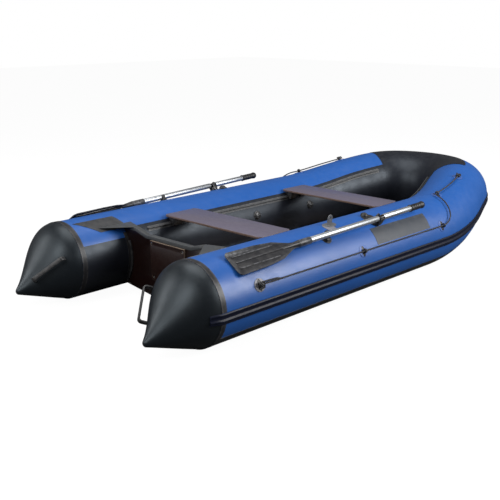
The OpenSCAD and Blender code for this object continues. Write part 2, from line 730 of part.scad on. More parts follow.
// Core that joins the two shaft tubes, with the tilt pin through it
module oar_joint(side) {
    spigot = 70;
    color("#1d1e21") {
        at_oar(side) {
            translate([-core_half, 0, 0]) rotate([0, 90, 0])
                cylinder(d = core_d, h = 2 * core_half, $fn = 48);
            for (x = [-core_half - spigot, core_half]) translate([x, 0, 0]) rotate([0, 90, 0])
                cylinder(d = shaft_d - 2 * shaft_wall - 2 * run_gap, h = spigot, $fn = 48);
        }
        at_lock(side) translate([0, -fork_gap - fork_wall - 3, lock_h]) rotate([-90, 0, 0])
            cylinder(d = tilt_d - 2 * run_gap, h = 2 * (fork_gap + fork_wall + 3), $fn = 32);
    }
}
module oar_joint_port() oar_joint("port");
module oar_joint_starboard() oar_joint("starboard");
grip_len = 126;
neck_at = oar_aft - blade_len;
sleeve_len = 82;
module tube_x(x0, x1, d, wall) {
    translate([x0, 0, 0]) rotate([0, 90, 0]) difference() {
        cylinder(d = d, h = x1 - x0, $fn = 48);
        translate([0, 0, -1]) cylinder(d = d - 2 * wall, h = x1 - x0 + 2, $fn = 48);
    }
}
module oar_shafts(side) {
    color("#e8eaec") at_oar(side) {
        tube_x(-neck_at + sleeve_len - 60, -core_half - 0.1, shaft_d, shaft_wall);
        tube_x(core_half + 0.1, oar_fore - grip_len + 50, shaft_d, shaft_wall);
    }
}
module oar_shafts_port() oar_shafts("port");
module oar_shafts_starboard() oar_shafts("starboard");
// Grip: a closed sleeve pushed over the shaft's end, with finger rings
module oar_grip(side) {
    from = oar_fore - grip_len;
    r_in = shaft_d / 2 + 0.05;
    rings = [for (i = [0 : 4], k = [0, 1]) [r_in + (k == 0 ? 2 : 3.2), 10 + i * 20 + k * 10]];
    color("#2c2e31") at_oar(side) translate([from, 0, 0]) rotate([0, 90, 0]) rotate_extrude($fn = 48)
        polygon(concat([[r_in, 0], [r_in + 4, 0], [r_in + 5, 4]], rings,
            [[r_in + 5, grip_len - 8], [r_in + 2, grip_len], [0, grip_len], [0, 51], [r_in, 51]]));
}
module oar_grip_port() oar_grip("port");
module oar_grip_starboard() oar_grip("starboard");
blade_t = 4;
rib_h = 3;
// Blade with its neck sleeve and three ribs on each face
module oar_blade(side) {
    shoulder = neck_at + 120;
    half = blade_w / 2;
    tip_r = 24;
    edge = [[-neck_at, -12], [-neck_at - 60, -22], [-neck_at - 150, -half + 16],
        [-neck_at - 260, -half + 4], [-oar_aft + tip_r, -half], [-oar_aft, -half + tip_r]];
    color("#232528") at_oar(side) {
        difference() {
            union() {
                translate([-neck_at - 4, 0, 0]) rotate([0, 90, 0])
                    cylinder(d = shaft_d + 5, h = sleeve_len + 4, $fn = 48);
                translate([-shoulder, 0, 0]) rotate([0, 90, 0])
                    cylinder(d1 = 12, d2 = shaft_d + 5, h = shoulder - neck_at - 2, $fn = 48);
                translate([0, 0, -blade_t / 2]) linear_extrude(blade_t) union() {
                    polygon(concat(edge, [for (i = [len(edge) - 1 : -1 : 0]) [edge[i][0], -edge[i][1]]]));
                    for (y = [-half + tip_r, half - tip_r])
                        translate([-oar_aft + tip_r, y]) circle(r = tip_r, $fn = 48);
                }
                for (y = [-half * 0.5, 0, half * 0.5])
                    translate([-oar_aft + 26, y - 2.5, -blade_t / 2 - rib_h])
                        cube([blade_len - (y == 0 ? 140 : 190), 5, blade_t + 2 * rib_h]);
            }
            translate([-neck_at + sleeve_len - 61, 0, 0]) rotate([0, 90, 0])
                cylinder(d = shaft_d + 0.1, h = 80, $fn = 48);
        }
    }
}
module oar_blade_port() oar_blade("port");
module oar_blade_starboard() oar_blade("starboard");
// Rests for the shafts: a saddle with a hook on its inner side
clip_x = -436;
clip_w = 30;
hook_t = 6;
module oar_clips() {
    rise = lock_h + clip_x * sin(oar_slope);
    aft_end = clip_x - clip_w / 2;
    saddle = lock_h + aft_end * tan(oar_slope) - shaft_d / 2 - gap;
    hook_y = shaft_d / 2 + gap;
    color("#222427") both_sides() at_lock("starboard") difference() {
        union() {
            translate([aft_end, -24, -12]) cube([clip_w, hook_y + 24 + hook_t, saddle + 12]);
            translate([clip_x - clip_w / 2 + 4, hook_y, -8]) cube([clip_w - 8, hook_t, rise + 16]);
            translate([clip_x, 0, -12]) cylinder(d = 66, h = 14, $fn = 48);
        }
        translate([clip_x, 0, 0]) under_tube(60, skin_in);
    }
}

// ---- grab line and its rings
line_a = 68;
crown_line_a = 12;
fore_line_a = 14;
ring_places = [[257, line_a], [1054, line_a], [straight_len - 18, line_a],
    [straight_len + 164, crown_line_a], [straight_len + 524, fore_line_a]];
ring_gap = 0.8;
module rope_ring(s, phi) {
    on_tube(s, phi) difference() {
        union() {
            difference() {
                translate([0, 0, -6]) cylinder(d = 58, h = 14, $fn = 48);
                translate([-60, 0, -tube_r]) rotate([0, 90, 0]) difference() {
                    cylinder(r = tube_r + 60, h = 120, $fn = ring_fn);
                    translate([0, 0, -1]) cylinder(r = skin_in + 3.5, h = 122, $fn = ring_fn);
                }
            }
            translate([-9, 0, rope_off]) rotate([0, 90, 0]) cylinder(d = rope_d + 10, h = 18, $fn = 32);
            translate([-9, -(rope_d + 10) / 2, 1]) cube([18, rope_d + 10, rope_off - 1]);
        }
        under_tube(60, tube_r + ring_gap);
        translate([-20, 0, rope_off]) rotate([0, 90, 0]) cylinder(d = rope_d + 1, h = 40, $fn = 32);
    }
}
module rope_rings() {
    color("#222427") both_sides() for (p = ring_places) rope_ring(p[0], p[1]);
}
// Route of the line as [s, phi, extra height], chosen by hand
// The last part climbs from the outer side to the top of the bow
side_route = [[236, line_a, 0], [257, line_a, 0], [280, line_a, 0], [660, line_a, 0],
    [1034, line_a, 0], [1054, line_a, 0], [1074, line_a, 0], [1450, line_a, 0]];
bow_route = [[-38, line_a, 0], [-18, line_a, 0], [1, line_a, 0], [31, 66, 1], [59, 62, 2],
    [81, 56, 3], [96, 49, 3], [107, 42, 3], [115, 35, 3], [122, 27, 2], [129, 20, 1], [137, 14, 0],
    [146, crown_line_a, 0], [164, crown_line_a, 0], [182, crown_line_a, 0], [255, crown_line_a, 1],
    [335, 13, 2], [425, fore_line_a, 1], [506, fore_line_a, 0], [524, fore_line_a, 0],
    [545, fore_line_a, 0]];
rope_route = concat(side_route, [for (q = bow_route) [straight_len + q[0], q[1], q[2]]]);
rope_sides = 8;
function rope_pt(q) = tube_pt(q[0], q[1], tube_r + rope_off + q[2]);
function unit(v) = v / norm(v);
module grab_line(side) {
    c = [for (q = rope_route) rope_pt(q)];
    k = len(c);
    rings = [for (i = [0 : k - 1]) let (
        t = unit(c[min(i + 1, k - 1)] - c[max(i - 1, 0)]),
        u = unit(cross(t, [0.3, 0.2, 0.93])),
        v = cross(u, t))
        [for (j = [0 : rope_sides - 1]) let (a = 360 * j / rope_sides)
            c[i] + rope_d / 2 * (cos(a) * v + sin(a) * u)]];
    color("#17181a") on_side(side) loft(rings);
}
module grab_line_port() grab_line("port");
module grab_line_starboard() grab_line("starboard");

// ---- valves
module at_valve(i) {
    p = valve_places[i];
    on_side(p[0]) on_tube(p[1], -p[2]) children();
}
valve_bore = 20;
flange_h = 7;
module valve_body(i) {
    at_valve(i) difference() {
        union() {
            difference() {
                translate([0, 0, -6]) cylinder(d = valve_d, h = 6 + flange_h, $fn = 48);
                under_tube(60, skin_out + gap);
            }
            translate([0, 0, -pocket_h + 2]) cylinder(d = pocket_d - 1, h = pocket_h + 2, $fn = 48);
        }
        translate([0, 0, -pocket_h + 6]) cylinder(d = valve_bore, h = pocket_h + 20, $fn = 48);
    }
}
module valve_bodies() {
    color("#2c2e31") for (i = [0 : 2]) valve_body(i);
}
cap_h = 9;
module valve_cap(i) {
    color("#1d1e21") at_valve(i) {
        translate([0, 0, flange_h + 0.2]) cylinder(d = cap_d, h = cap_h, $fn = 48);
        translate([0, 0, -4]) cylinder(d = valve_bore - 2 * run_gap, h = 5 + flange_h, $fn = 48);
        translate([-cap_d / 2 + 3, -3, flange_h + cap_h]) cube([cap_d - 6, 6, 4]);
    }
}
module valve_cap_port() valve_cap(0);
module valve_cap_starboard() valve_cap(1);
module valve_cap_bow() valve_cap(2);

// ---- small upright with an eye on the starboard tube, on an oval base
tab_s = 968;
tab_a = 8;
tab_h = 58;
tab_t = 6;
eye_d = 12;
eye_r = 18;
module tab_mount() {
    color("#6f7377") on_tube(tab_s, tab_a) {
        difference() {
            translate([0, 0, -10]) rotate([0, 0, 90]) stadium(88, 52, 20);
            under_tube(60, skin_in);
            translate([-60, 0, -tube_r]) rotate([0, 90, 0]) difference() {
                cylinder(r = tube_r + 60, h = 120, $fn = ring_fn);
                translate([0, 0, -1]) cylinder(r = skin_in + 4, h = 122, $fn = ring_fn);
            }
        }
        difference() {
            union() {
                translate([-eye_r, -tab_t / 2, 2]) cube([2 * eye_r, tab_t, tab_h - eye_r - 2]);
                translate([0, -tab_t / 2, tab_h - eye_r]) rotate([-90, 0, 0])
                    cylinder(r = eye_r, h = tab_t, $fn = 48);
            }
            translate([0, -tab_t, tab_h - eye_r]) rotate([-90, 0, 0])
                cylinder(d = eye_d, h = 2 * tab_t, $fn = 32);
        }
    }
}

// ---- carrying handles: moulded loops along the cones' inner sides
handle_len = 150;
handle_w = 22;
handle_t = 10;
handle_rise = 46;
handle_a = -67.5;
handle_from = 0.32;
handle_to = 0.76;
module rounded_rect(w, z0, z1, r) {
    translate([-w / 2, z0]) square([w, z1 - z0 - r]);
    translate([-w / 2 + r, z0]) square([w - 2 * r, z1 - z0]);
    for (x = [-w / 2 + r, w / 2 - r]) translate([x, z1 - r]) circle(r = r, $fn = 48);
}
module stern_handles() {
    p = cone_pt(cone_len * handle_to, handle_a, cone_r(handle_to), cone_z(handle_to));
    q = cone_pt(cone_len * handle_from, handle_a, cone_r(handle_from), cone_z(handle_from));
    d = q - p;
    span = norm(d);
    color("#1d1e21") both_sides()
        translate((p + q) / 2) rotate([0, -atan2(d[2], norm([d[0], d[1]])), atan2(d[1], d[0])])
            rotate([handle_a, 0, 0]) translate([0, handle_w / 2, 1]) rotate([90, 0, 0])
                linear_extrude(handle_w) difference() {
                    rounded_rect(span + 2 * handle_t, 0, handle_rise, 20);
                    translate([0, -1]) rounded_rect(span, 0, handle_rise - handle_t + 1, 10);
                }
}
// Things on the front of the bow are turned about the centre of its second bend
module round_bow(angle) {
    translate([stern_x + bow_x - bow_r, 0, height(s_bow)]) rotate([0, 0, -angle / 2])
        rotate_extrude(angle = angle, $fn = ring_fn) children();
}
// Arc strip of the bow's section between two radii and two angles
module bow_strip(r0, r1, a0, a1) {
    n = 6;
    polygon(concat(
        [for (i = [0 : n]) let (a = a0 + (a1 - a0) * i / n) [bow_r + r1 * sin(a), r1 * cos(a)]],
        [for (i = [n : -1 : 0]) let (a = a0 + (a1 - a0) * i / n) [bow_r + r0 * sin(a), r0 * cos(a)]]
    ));
}
bow_handle_a = 58;
module bow_handle() {
    mid = [bow_r + (skin_in + 36) * sin(bow_handle_a), (skin_in + 36) * cos(bow_handle_a)];
    half = bow_handle_a;
    color("#1d1e21") {
        round_bow(18) bow_strip(skin_in + 0.3, skin_in + 4, half - 6, half + 6);
        round_bow(13) translate(mid) circle(d = 20, $fn = 32);
        for (side = [-6, 6]) rotate_about_bow(side)
            round_bow(1.8) bow_strip(skin_in + 3, skin_in + 38, half - 2, half + 2);
    }
}
module rotate_about_bow(angle) {
    c = stern_x + bow_x - bow_r;
    translate([c, 0, 0]) rotate([0, 0, angle]) translate([-c, 0, 0]) children();
}
tow_a = 122;
tow_rise = 14;
tow_h = 16;
module tow_ring_patch() {
    color("#26282b") {
        difference() {
            union() {
                round_bow(8) bow_strip(skin_out + gap, skin_out + 4, tow_a - 11, tow_a + 11);
                on_tube(s_bow, tow_a) {
                    translate([-tow_h, -9, 4]) cube([2 * tow_h, 18, tow_rise - 4]);
                    translate([-tow_h, 0, tow_rise]) rotate([0, 90, 0])
                        cylinder(d = 18, h = 2 * tow_h, $fn = 48);
                }
            }
            on_tube(s_bow, tow_a) translate([-60, 0, tow_rise]) rotate([0, 90, 0])
                cylinder(d = ring_t + 2 * run_gap, h = 120, $fn = 32);
        }
    }
}
ring_w = 27;
ring_t = 8;
// Ring that hangs from the patch: a bar through its ear and a half loop below
module tow_ring() {
    eye = tube_pt(s_bow, tow_a, tube_r + tow_rise);
    color("silver") translate(eye) {
        translate([0, -ring_w - ring_t / 2, 0]) rotate([-90, 0, 0])
            cylinder(d = ring_t, h = 2 * ring_w + ring_t, $fn = 32);
        rotate([0, 90, 0]) rotate([0, 0, -90]) rotate_extrude(angle = 180, $fn = 64)
            translate([ring_w, 0]) circle(d = ring_t, $fn = 32);
    }
}

port_chamber();
starboard_chamber();
bow_chamber();
baffles();
port_cone();
starboard_cone();
cone_seam_tapes();
port_inner_wall();
starboard_inner_wall();
bow_cover();
bottom_wrap_port();
bottom_wrap_starboard();
bottom_wrap_bow();
bottom_sheet();
keel_chamber();
floorboards();
floor_stringers();
floor_joiners();
strake_port();
strake_starboard();
strake_bow();
patch_starboard();
stern_patches();
transom_board();
transom_cap();
transom_holders();
transom_gussets();
motor_pads();
pad_screws();
drain_valve();
drain_plug();
seat_tracks();
seat_rear();
seat_rear_slides();
seat_front();
seat_front_slides();
oarlock_bases();
fork_port();
fork_starboard();
oar_joint_port();
oar_joint_starboard();
oar_shafts_port();
oar_shafts_starboard();
oar_grip_port();
oar_grip_starboard();
oar_blade_port();
oar_blade_starboard();
oar_clips();
rope_rings();
grab_line_port();
grab_line_starboard();
valve_bodies();
valve_cap_port();
valve_cap_starboard();
valve_cap_bow();
tab_mount();
stern_handles();
bow_handle();
tow_ring_patch();
tow_ring();
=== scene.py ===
import math

import bpy
from mathutils import Matrix, Vector
from mathutils.bvhtree import BVHTree


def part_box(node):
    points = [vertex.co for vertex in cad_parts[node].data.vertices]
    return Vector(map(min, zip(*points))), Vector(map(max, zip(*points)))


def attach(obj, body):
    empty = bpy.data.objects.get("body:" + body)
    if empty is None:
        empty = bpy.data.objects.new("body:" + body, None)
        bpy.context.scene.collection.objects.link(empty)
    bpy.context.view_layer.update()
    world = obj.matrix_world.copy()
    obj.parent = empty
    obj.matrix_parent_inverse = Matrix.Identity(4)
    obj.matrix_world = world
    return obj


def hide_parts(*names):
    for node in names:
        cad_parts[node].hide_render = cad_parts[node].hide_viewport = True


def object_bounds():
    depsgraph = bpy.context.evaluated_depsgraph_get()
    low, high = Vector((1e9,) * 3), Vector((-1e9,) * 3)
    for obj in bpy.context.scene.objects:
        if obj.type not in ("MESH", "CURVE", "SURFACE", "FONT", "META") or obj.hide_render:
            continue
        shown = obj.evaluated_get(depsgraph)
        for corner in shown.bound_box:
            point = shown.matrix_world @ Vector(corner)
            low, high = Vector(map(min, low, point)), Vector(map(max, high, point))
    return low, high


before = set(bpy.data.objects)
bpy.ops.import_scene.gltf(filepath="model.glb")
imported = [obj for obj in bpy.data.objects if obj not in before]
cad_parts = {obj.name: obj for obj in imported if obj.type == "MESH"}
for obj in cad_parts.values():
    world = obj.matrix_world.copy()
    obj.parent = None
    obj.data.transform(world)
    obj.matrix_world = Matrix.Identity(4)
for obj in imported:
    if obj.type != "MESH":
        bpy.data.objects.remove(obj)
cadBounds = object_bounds()
print("stage: frame loaded")

# Image points, x and y in the 500 by 500 photograph
photo = {"width": 500, "height": 500}
imagePoints = {
    "leftMost": (17.5, 288), "rightMost": (488, 195), "topMost": (371, 153), "bottomMost": (200, 349),
    "nearSeam": (191.3, 261.5), "farSeam": (59, 223.8), "nearTip": (143, 345), "farTip": (17.5, 288),
    "rearSeatAft": (166.5, 214.8), "frontSeatNear": (397.2, 200.3), "padTop": (164, 244.3),
    "nearBlade": (268, 256), "nearGrip": (422.6, 203), "farGrip": (253.9, 175.9), "tabTop": (330, 215.5),
    "ringA": (260, 286), "ringB": (363.6, 252), "ringC": (441.5, 225), "tabBase": (329.5, 227.5),
    "portValve": (256.7, 214.6),
}

# Camera, settled by the points above: aim first, no shift needed
camera = {"place": (-3.7909, -3.2138, 1.4764), "yaw": 43.85, "pitch": 15.58, "lens": 60.1,
          "sensor": 36, "shiftX": 0, "shiftY": 0}
cameraData = bpy.data.cameras.new("photoCamera")
cameraData.lens, cameraData.sensor_width, cameraData.sensor_fit = camera["lens"], camera["sensor"], "AUTO"
cameraData.shift_x, cameraData.shift_y = camera["shiftX"], camera["shiftY"]
cameraObject = bpy.data.objects.new("photoCamera", cameraData)
cameraObject.location = camera["place"]
cameraObject.rotation_euler = (math.radians(90 - camera["pitch"]), 0, math.radians(camera["yaw"] - 90))
bpy.context.collection.objects.link(cameraObject)
bpy.context.scene.camera = cameraObject
bpy.context.view_layer.update()


def photoRay(point):
    # Start and direction of the ray through an image point
    w, h = photo["width"], photo["height"]
    longSide = max(w, h)
    aim = Vector((point[0] - w / 2 + camera["shiftX"] * longSide, h / 2 - point[1] + camera["shiftY"] * longSide,
                  -longSide * camera["lens"] / camera["sensor"]))
    turn = cameraObject.matrix_world.to_3x3()
    return cameraObject.matrix_world.translation.copy(), (turn @ aim).normalized()


# The stretch of a ray that is searched for the nearest place where it meets nothing
rayMiss = {"step": 0.05, "first": 40, "last": 180}


def seenOn(tree, name):
    # The place and normal where an image point's ray meets a surface, or of the place nearest the ray
    start, aim = photoRay(imagePoints[name])
    place, normal = tree.ray_cast(start, aim)[:2]
    if place is None:
        tries = [tree.find_nearest(start + aim * rayMiss["step"] * i)
                 for i in range(rayMiss["first"], rayMiss["last"])]
        place, normal = min(tries, key=lambda found: found[3])[:2]
    return place, normal


def seenAt(place):
    # Where a place shows in the photograph's frame
    local = cameraObject.matrix_world.inverted() @ Vector(place)
    longSide = max(photo["width"], photo["height"])
    k = longSide * camera["lens"] / camera["sensor"] / -local.z
    return (local.x * k + photo["width"] / 2 - camera["shiftX"] * longSide,
            photo["height"] / 2 - local.y * k + camera["shiftY"] * longSide)


# Mesh helpers; lengths in metres, angles in degrees
meshRules = {"merge": 1e-6, "cadMerge": 2e-5, "flat": 0.5, "rowSlack": 0.2}


def freshStart():
    if bpy.context.object and bpy.context.object.mode != "OBJECT":
        bpy.ops.object.mode_set(mode="OBJECT")
    bpy.ops.object.select_all(action="DESELECT")


def only(piece):
    # Makes one piece the selected and the active one
    freshStart()
    piece.select_set(True)
    bpy.context.view_layer.objects.active = piece


def started(name):
    # The piece just added or joined, named, still active
    piece = bpy.context.object
    piece.name = piece.data.name = name
    return piece


def pick(piece, kind, test):
    # Selects vertices, edges or faces by place and opens edit mode
    only(piece)
    mesh = piece.data
    for group in (mesh.vertices, mesh.edges, mesh.polygons):
        group.foreach_set("select", [False] * len(group))
    if kind == "VERT":
        for vertex in mesh.vertices:
            vertex.select = test(vertex.co)
    elif kind == "EDGE":
        for edge in mesh.edges:
            edge.select = test(*[mesh.vertices[i].co for i in edge.vertices])
    else:
        for face in mesh.polygons:
            face.select = test(face.center, face.normal)
    bpy.context.tool_settings.mesh_select_mode = (kind == "VERT", kind == "EDGE", kind == "FACE")
    bpy.ops.object.mode_set(mode="EDIT")


def pickAll(piece):
    pick(piece, "VERT", lambda co: True)


def pickRow(sheet, angle):
    # The vertices at one angle round a straight tube
    pick(sheet, "VERT",
         lambda co: abs(math.degrees(math.atan2(-co.y, co.z)) - angle) < meshRules["rowSlack"])


def done():
    bpy.ops.object.mode_set(mode="OBJECT")


def tidyNormals(piece):
    pickAll(piece)
    bpy.ops.mesh.remove_doubles(threshold=meshRules["merge"])
    bpy.ops.mesh.normals_make_consistent(inside=False)
    done()


def facedOut(sheet):
    # Merges a sheet and turns its faces away from the tube's axis, before it gets its thickness
    tidyNormals(sheet)
    pick(sheet, "FACE", lambda c, n: n.y * c.y + n.z * c.z < 0)
    bpy.ops.mesh.flip_normals()
    done()


def applied(piece, kind, **settings):
    # Adds a modifier, sets it and applies it
    only(piece)
    modifier = piece.modifiers.new(kind.lower(), kind)
    for key, value in settings.items():
        setattr(modifier, key, value)
    bpy.ops.object.modifier_apply(modifier=modifier.name)


def settle(piece):
    # Puts the object's place, turn and size into its mesh
    only(piece)
    bpy.ops.object.transform_apply(location=True, rotation=True, scale=True)


def smoothed(piece, angle=35):
    only(piece)
    bpy.ops.object.shade_smooth_by_angle(angle=math.radians(angle))


def joined(name, pieces):
    freshStart()
    for piece in pieces:
        piece.select_set(True)
    bpy.context.view_layer.objects.active = pieces[0]
    bpy.ops.object.join()
    return started(name)


def copied(piece, name):
    twin = piece.copy()
    twin.data = piece.data.copy()
    twin.name = twin.data.name = name
    bpy.context.collection.objects.link(twin)
    return twin


def mirrored(piece, name):
    # The port twin of a starboard piece
    twin = copied(piece, name)
    pickAll(twin)
    bpy.ops.transform.resize(value=(1, -1, 1), center_override=(0, 0, 0))
    bpy.ops.mesh.flip_normals()
    done()
    return twin


def placed(piece, matrix):
    piece.matrix_world = matrix @ piece.matrix_world
    settle(piece)
    return piece


def dressed(node, name, bevel, angle=30, segments=2, smooth=32):
    # A copy of a CAD node's mesh, merged, with its edges rounded
    piece = copied(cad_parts[node], name)
    piece.parent = None
    piece.matrix_world = Matrix()
    pickAll(piece)
    bpy.ops.mesh.remove_doubles(threshold=meshRules["cadMerge"])
    bpy.ops.mesh.dissolve_limited(angle_limit=math.radians(meshRules["flat"]))
    done()
    if bevel:
        applied(piece, "BEVEL", width=bevel, segments=segments, limit_method="ANGLE",
                angle_limit=math.radians(angle), use_clamp_overlap=True)
    smoothed(piece, smooth)
    return piece


def finished(piece, material, body, nodes=()):
    piece.data.materials.clear()
    piece.data.materials.append(material)
    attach(piece, body)
    if nodes:
        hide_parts(*nodes)
    return piece


# The tube's path, from the same values as the CAD source
chamberLow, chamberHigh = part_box("starboard_chamber")
hull = {"bendAngle": math.radians(20), "bendRadius": 1.57, "bowLeg": 0.2, "straight": 1.845,
        "rise": 0.108, "riseRun": 0.976, "lead": 0.4, "step": 0.01,
        "skinIn": 0.0003, "skinOut": 0.0015, "rowAngle": 3.75}
tubeRadius = (chamberHigh[1] - chamberLow[1]) / 2
axisY = -(chamberHigh[1] + chamberLow[1]) / 2
axisZ = (chamberHigh[2] + chamberLow[2]) / 2
sternX = chamberLow[0]
bowRadius = (axisY - hull["bendRadius"] * (1 - math.cos(hull["bendAngle"]))
             - hull["bowLeg"] * math.sin(hull["bendAngle"])) / math.cos(hull["bendAngle"])
sBend = hull["straight"] + hull["bendRadius"] * hull["bendAngle"]
sLeg = sBend + hull["bowLeg"]
sBow = sLeg + bowRadius * (math.pi / 2 - hull["bendAngle"])


def heading(s):
    if s <= hull["straight"]:
        return 0
    if s <= sBend:
        return (s - hull["straight"]) / hull["bendRadius"]
    return hull["bendAngle"] + max(0, s - sLeg) / bowRadius


def plan(s):
    a = hull["bendAngle"]
    if s <= hull["straight"]:
        return Vector((s, -axisY))
    if s <= sBend:
        return Vector((hull["straight"] + hull["bendRadius"] * math.sin(heading(s)),
                       -axisY + hull["bendRadius"] * (1 - math.cos(heading(s)))))
    if s <= sLeg:
        return plan(sBend) + (s - sBend) * Vector((math.cos(a), math.sin(a)))
    return plan(sLeg) + bowRadius * Vector((math.sin(heading(s)) - math.sin(a), math.cos(a) - math.cos(heading(s))))


def run(s):
    return min(1, max(0, (s - hull["straight"]) / hull["riseRun"]))


def height(s):
    return axisZ + hull["rise"] * (1 - math.cos(math.pi * run(s))) / 2


def slope(s):
    return math.atan(hull["rise"] * math.pi / 2 / hull["riseRun"] * math.sin(math.pi * run(s)))


def axisPoint(s):
    return Vector((sternX + plan(s)[0], plan(s)[1], height(s)))


def tubePoint(s, phi, r=tubeRadius):
    # phi in degrees: 0 is the top, 90 the outer side
    a, h = math.radians(phi), heading(s)
    return axisPoint(s) + r * Vector((math.sin(a) * math.sin(h), -math.sin(a) * math.cos(h), math.cos(a)))


def tubeFrame(s, phi, lift=0):
    # X along the starboard tube, Y inboard, Z away from it
    a, tilt = math.radians(phi), slope(s)
    return (Matrix.Translation(tubePoint(s, phi)) @ Matrix.Rotation(heading(s), 4, "Z")
            @ Matrix.Rotation(-tilt, 4, "Y")
            @ Matrix.Rotation(math.atan2(math.sin(a), math.cos(a) / math.cos(tilt)), 4, "X")
            @ Matrix.Translation((0, 0, lift)))


pathSteps = round((sBow + hull["lead"]) / hull["step"])
pathS = [-hull["lead"] + (sBow + hull["lead"]) * i / pathSteps for i in range(pathSteps + 1)]
pathHalf = [axisPoint(s) for s in pathS]
pathLength = [0]
for here, there in zip(pathHalf, pathHalf[1:]):
    pathLength.append(pathLength[-1] + (there - here).length)
halfPath = pathLength[-1]
pathCurve = bpy.data.curves.new("hullPath", "CURVE")
pathCurve.dimensions, pathCurve.twist_mode = "3D", "Z_UP"
pathSpline = pathCurve.splines.new("POLY")
pathAll = pathHalf + [Vector((p.x, -p.y, p.z)) for p in reversed(pathHalf[:-1])]
pathSpline.points.add(len(pathAll) - 1)
for point, place in zip(pathSpline.points, pathAll):
    point.co = (*place, 1)
pathObject = bpy.data.objects.new("hullPath", pathCurve)
bpy.context.collection.objects.link(pathObject)


def alongPath(s):
    # Length of the path up to the distance s from the starboard cone seam; past the bow it is the port side
    if s > sBow:
        return 2 * halfPath - alongPath(2 * sBow - s)
    k = min(pathSteps - 1, max(0, int((s + hull["lead"]) / (sBow + hull["lead"]) * pathSteps)))
    return pathLength[k] + (pathLength[k + 1] - pathLength[k]) * (s - pathS[k]) / (pathS[k + 1] - pathS[k])


def bent(piece):
    # Carries a piece from straight tube space on to the hull
    applied(piece, "CURVE", object=pathObject, deform_axis="POS_X")
    tidyNormals(piece)
    return piece


def laid(piece, material, nodes, smooth=35):
    # Bends a finished sheet on to the hull and dresses it
    bent(piece)
    smoothed(piece, smooth)
    return finished(piece, material, "hull", nodes)

def straightStrip(name, x0, x1, a0, a1, r, rows, maxStep=0.02):
    # A sheet on a straight tube along X: one edge, cut up, then spun round
    freshStart()
    bpy.ops.mesh.primitive_plane_add(size=1)
    strip = started(name)
    pick(strip, "VERT", lambda co: co.y > 0)
    bpy.ops.mesh.delete(type="VERT")
    pickAll(strip)
    cuts = max(1, math.ceil(math.sqrt((x1 - x0) / maxStep)) - 1)
    for turn in range(2):
        bpy.ops.mesh.subdivide(number_cuts=cuts)
    bpy.ops.transform.translate(value=(0.5, 0.5, 0))
    bpy.ops.transform.resize(value=(x1 - x0, 1, 1), center_override=(0, 0, 0))
    start = math.radians(a0)
    bpy.ops.transform.translate(value=(x0, -r * math.sin(start), r * math.cos(start)))
    bpy.ops.mesh.spin(steps=rows, angle=-math.radians(a1 - a0), center=(0, 0, 0), axis=(1, 0, 0))
    done()
    return strip


def skin(name, s0, s1, a0, a1, inner=None, outer=None, rows=None, maxStep=0.02):
    # A welded skin between two distances and two angles; s beyond the bow is the port side
    inner = hull["skinIn"] if inner is None else inner
    outer = hull["skinOut"] if outer is None else outer
    rows = rows or max(2, round((a1 - a0) / hull["rowAngle"]))
    strip = straightStrip(name, alongPath(s0), alongPath(s1), a0, a1, tubeRadius + outer, rows, maxStep)
    facedOut(strip)
    applied(strip, "SOLIDIFY", thickness=outer - inner, offset=-1)
    return strip


print("stage: helpers and path ready")

# Shader nodes and groups
def plug(tree, made, links):
    # Each input socket gets an output socket or a plain value
    for key, value in links.items():
        if isinstance(value, bpy.types.NodeSocket):
            tree.links.new(value, made.inputs[key])
        else:
            made.inputs[key].default_value = value


def node(tree, kind, links=None, **settings):
    made = tree.nodes.new(kind)
    for key, value in settings.items():
        setattr(made, key, value)
    plug(tree, made, links or {})
    return made


def newGroup(name, inputs, outputs):
    # Inputs are numbers or vectors, outputs are numbers
    tree = bpy.data.node_groups.new(name, "ShaderNodeTree")
    for label, value in inputs.items():
        kind = "NodeSocketVector" if isinstance(value, tuple) else "NodeSocketFloat"
        tree.interface.new_socket(label, in_out="INPUT", socket_type=kind).default_value = value
    for label in outputs:
        tree.interface.new_socket(label, in_out="OUTPUT", socket_type="NodeSocketFloat")
    return tree, tree.nodes.new("NodeGroupInput").outputs, tree.nodes.new("NodeGroupOutput")


def useGroup(tree, group, **values):
    return node(tree, "ShaderNodeGroup", values, node_tree=group).outputs


def maths(tree, operation, a, b=None, clamp=False):
    links = {0: a} if b is None else {0: a, 1: b}
    return node(tree, "ShaderNodeMath", links, operation=operation, use_clamp=clamp).outputs[0]


def colourMix(tree, factor, a, b):
    return node(tree, "ShaderNodeMix", {0: factor, 6: a, 7: b}, data_type="RGBA").outputs[2]


def spread(tree, value, low, high, outLow=0.0, outHigh=1.0):
    made = node(tree, "ShaderNodeMapRange",
                {"Value": value, "From Min": low, "From Max": high, "To Min": outLow, "To Max": outHigh})
    return made.outputs[0]


def objectPlace(tree):
    return node(tree, "ShaderNodeTexCoord").outputs["Object"]


def stretched(tree, by):
    # Object coordinates, drawn out or pressed together along each axis
    return node(tree, "ShaderNodeVectorMath", {0: objectPlace(tree), 1: by}, operation="MULTIPLY").outputs[0]


def surface(tree, name):
    return node(tree, "ShaderNodeNewGeometry").outputs[name]


def apart(tree, vector):
    return node(tree, "ShaderNodeSeparateXYZ", {0: vector}).outputs


def noise(tree, vector, scale, detail, **more):
    links = {"Vector": vector, "Scale": scale, "Detail": detail, **more}
    return node(tree, "ShaderNodeTexNoise", links).outputs["Fac"]


def bumped(tree, height, strength, distance):
    return node(tree, "ShaderNodeBump", {"Height": height, "Strength": strength, "Distance": distance}).outputs[0]


def rgba(colour):
    return (*colour, 1)


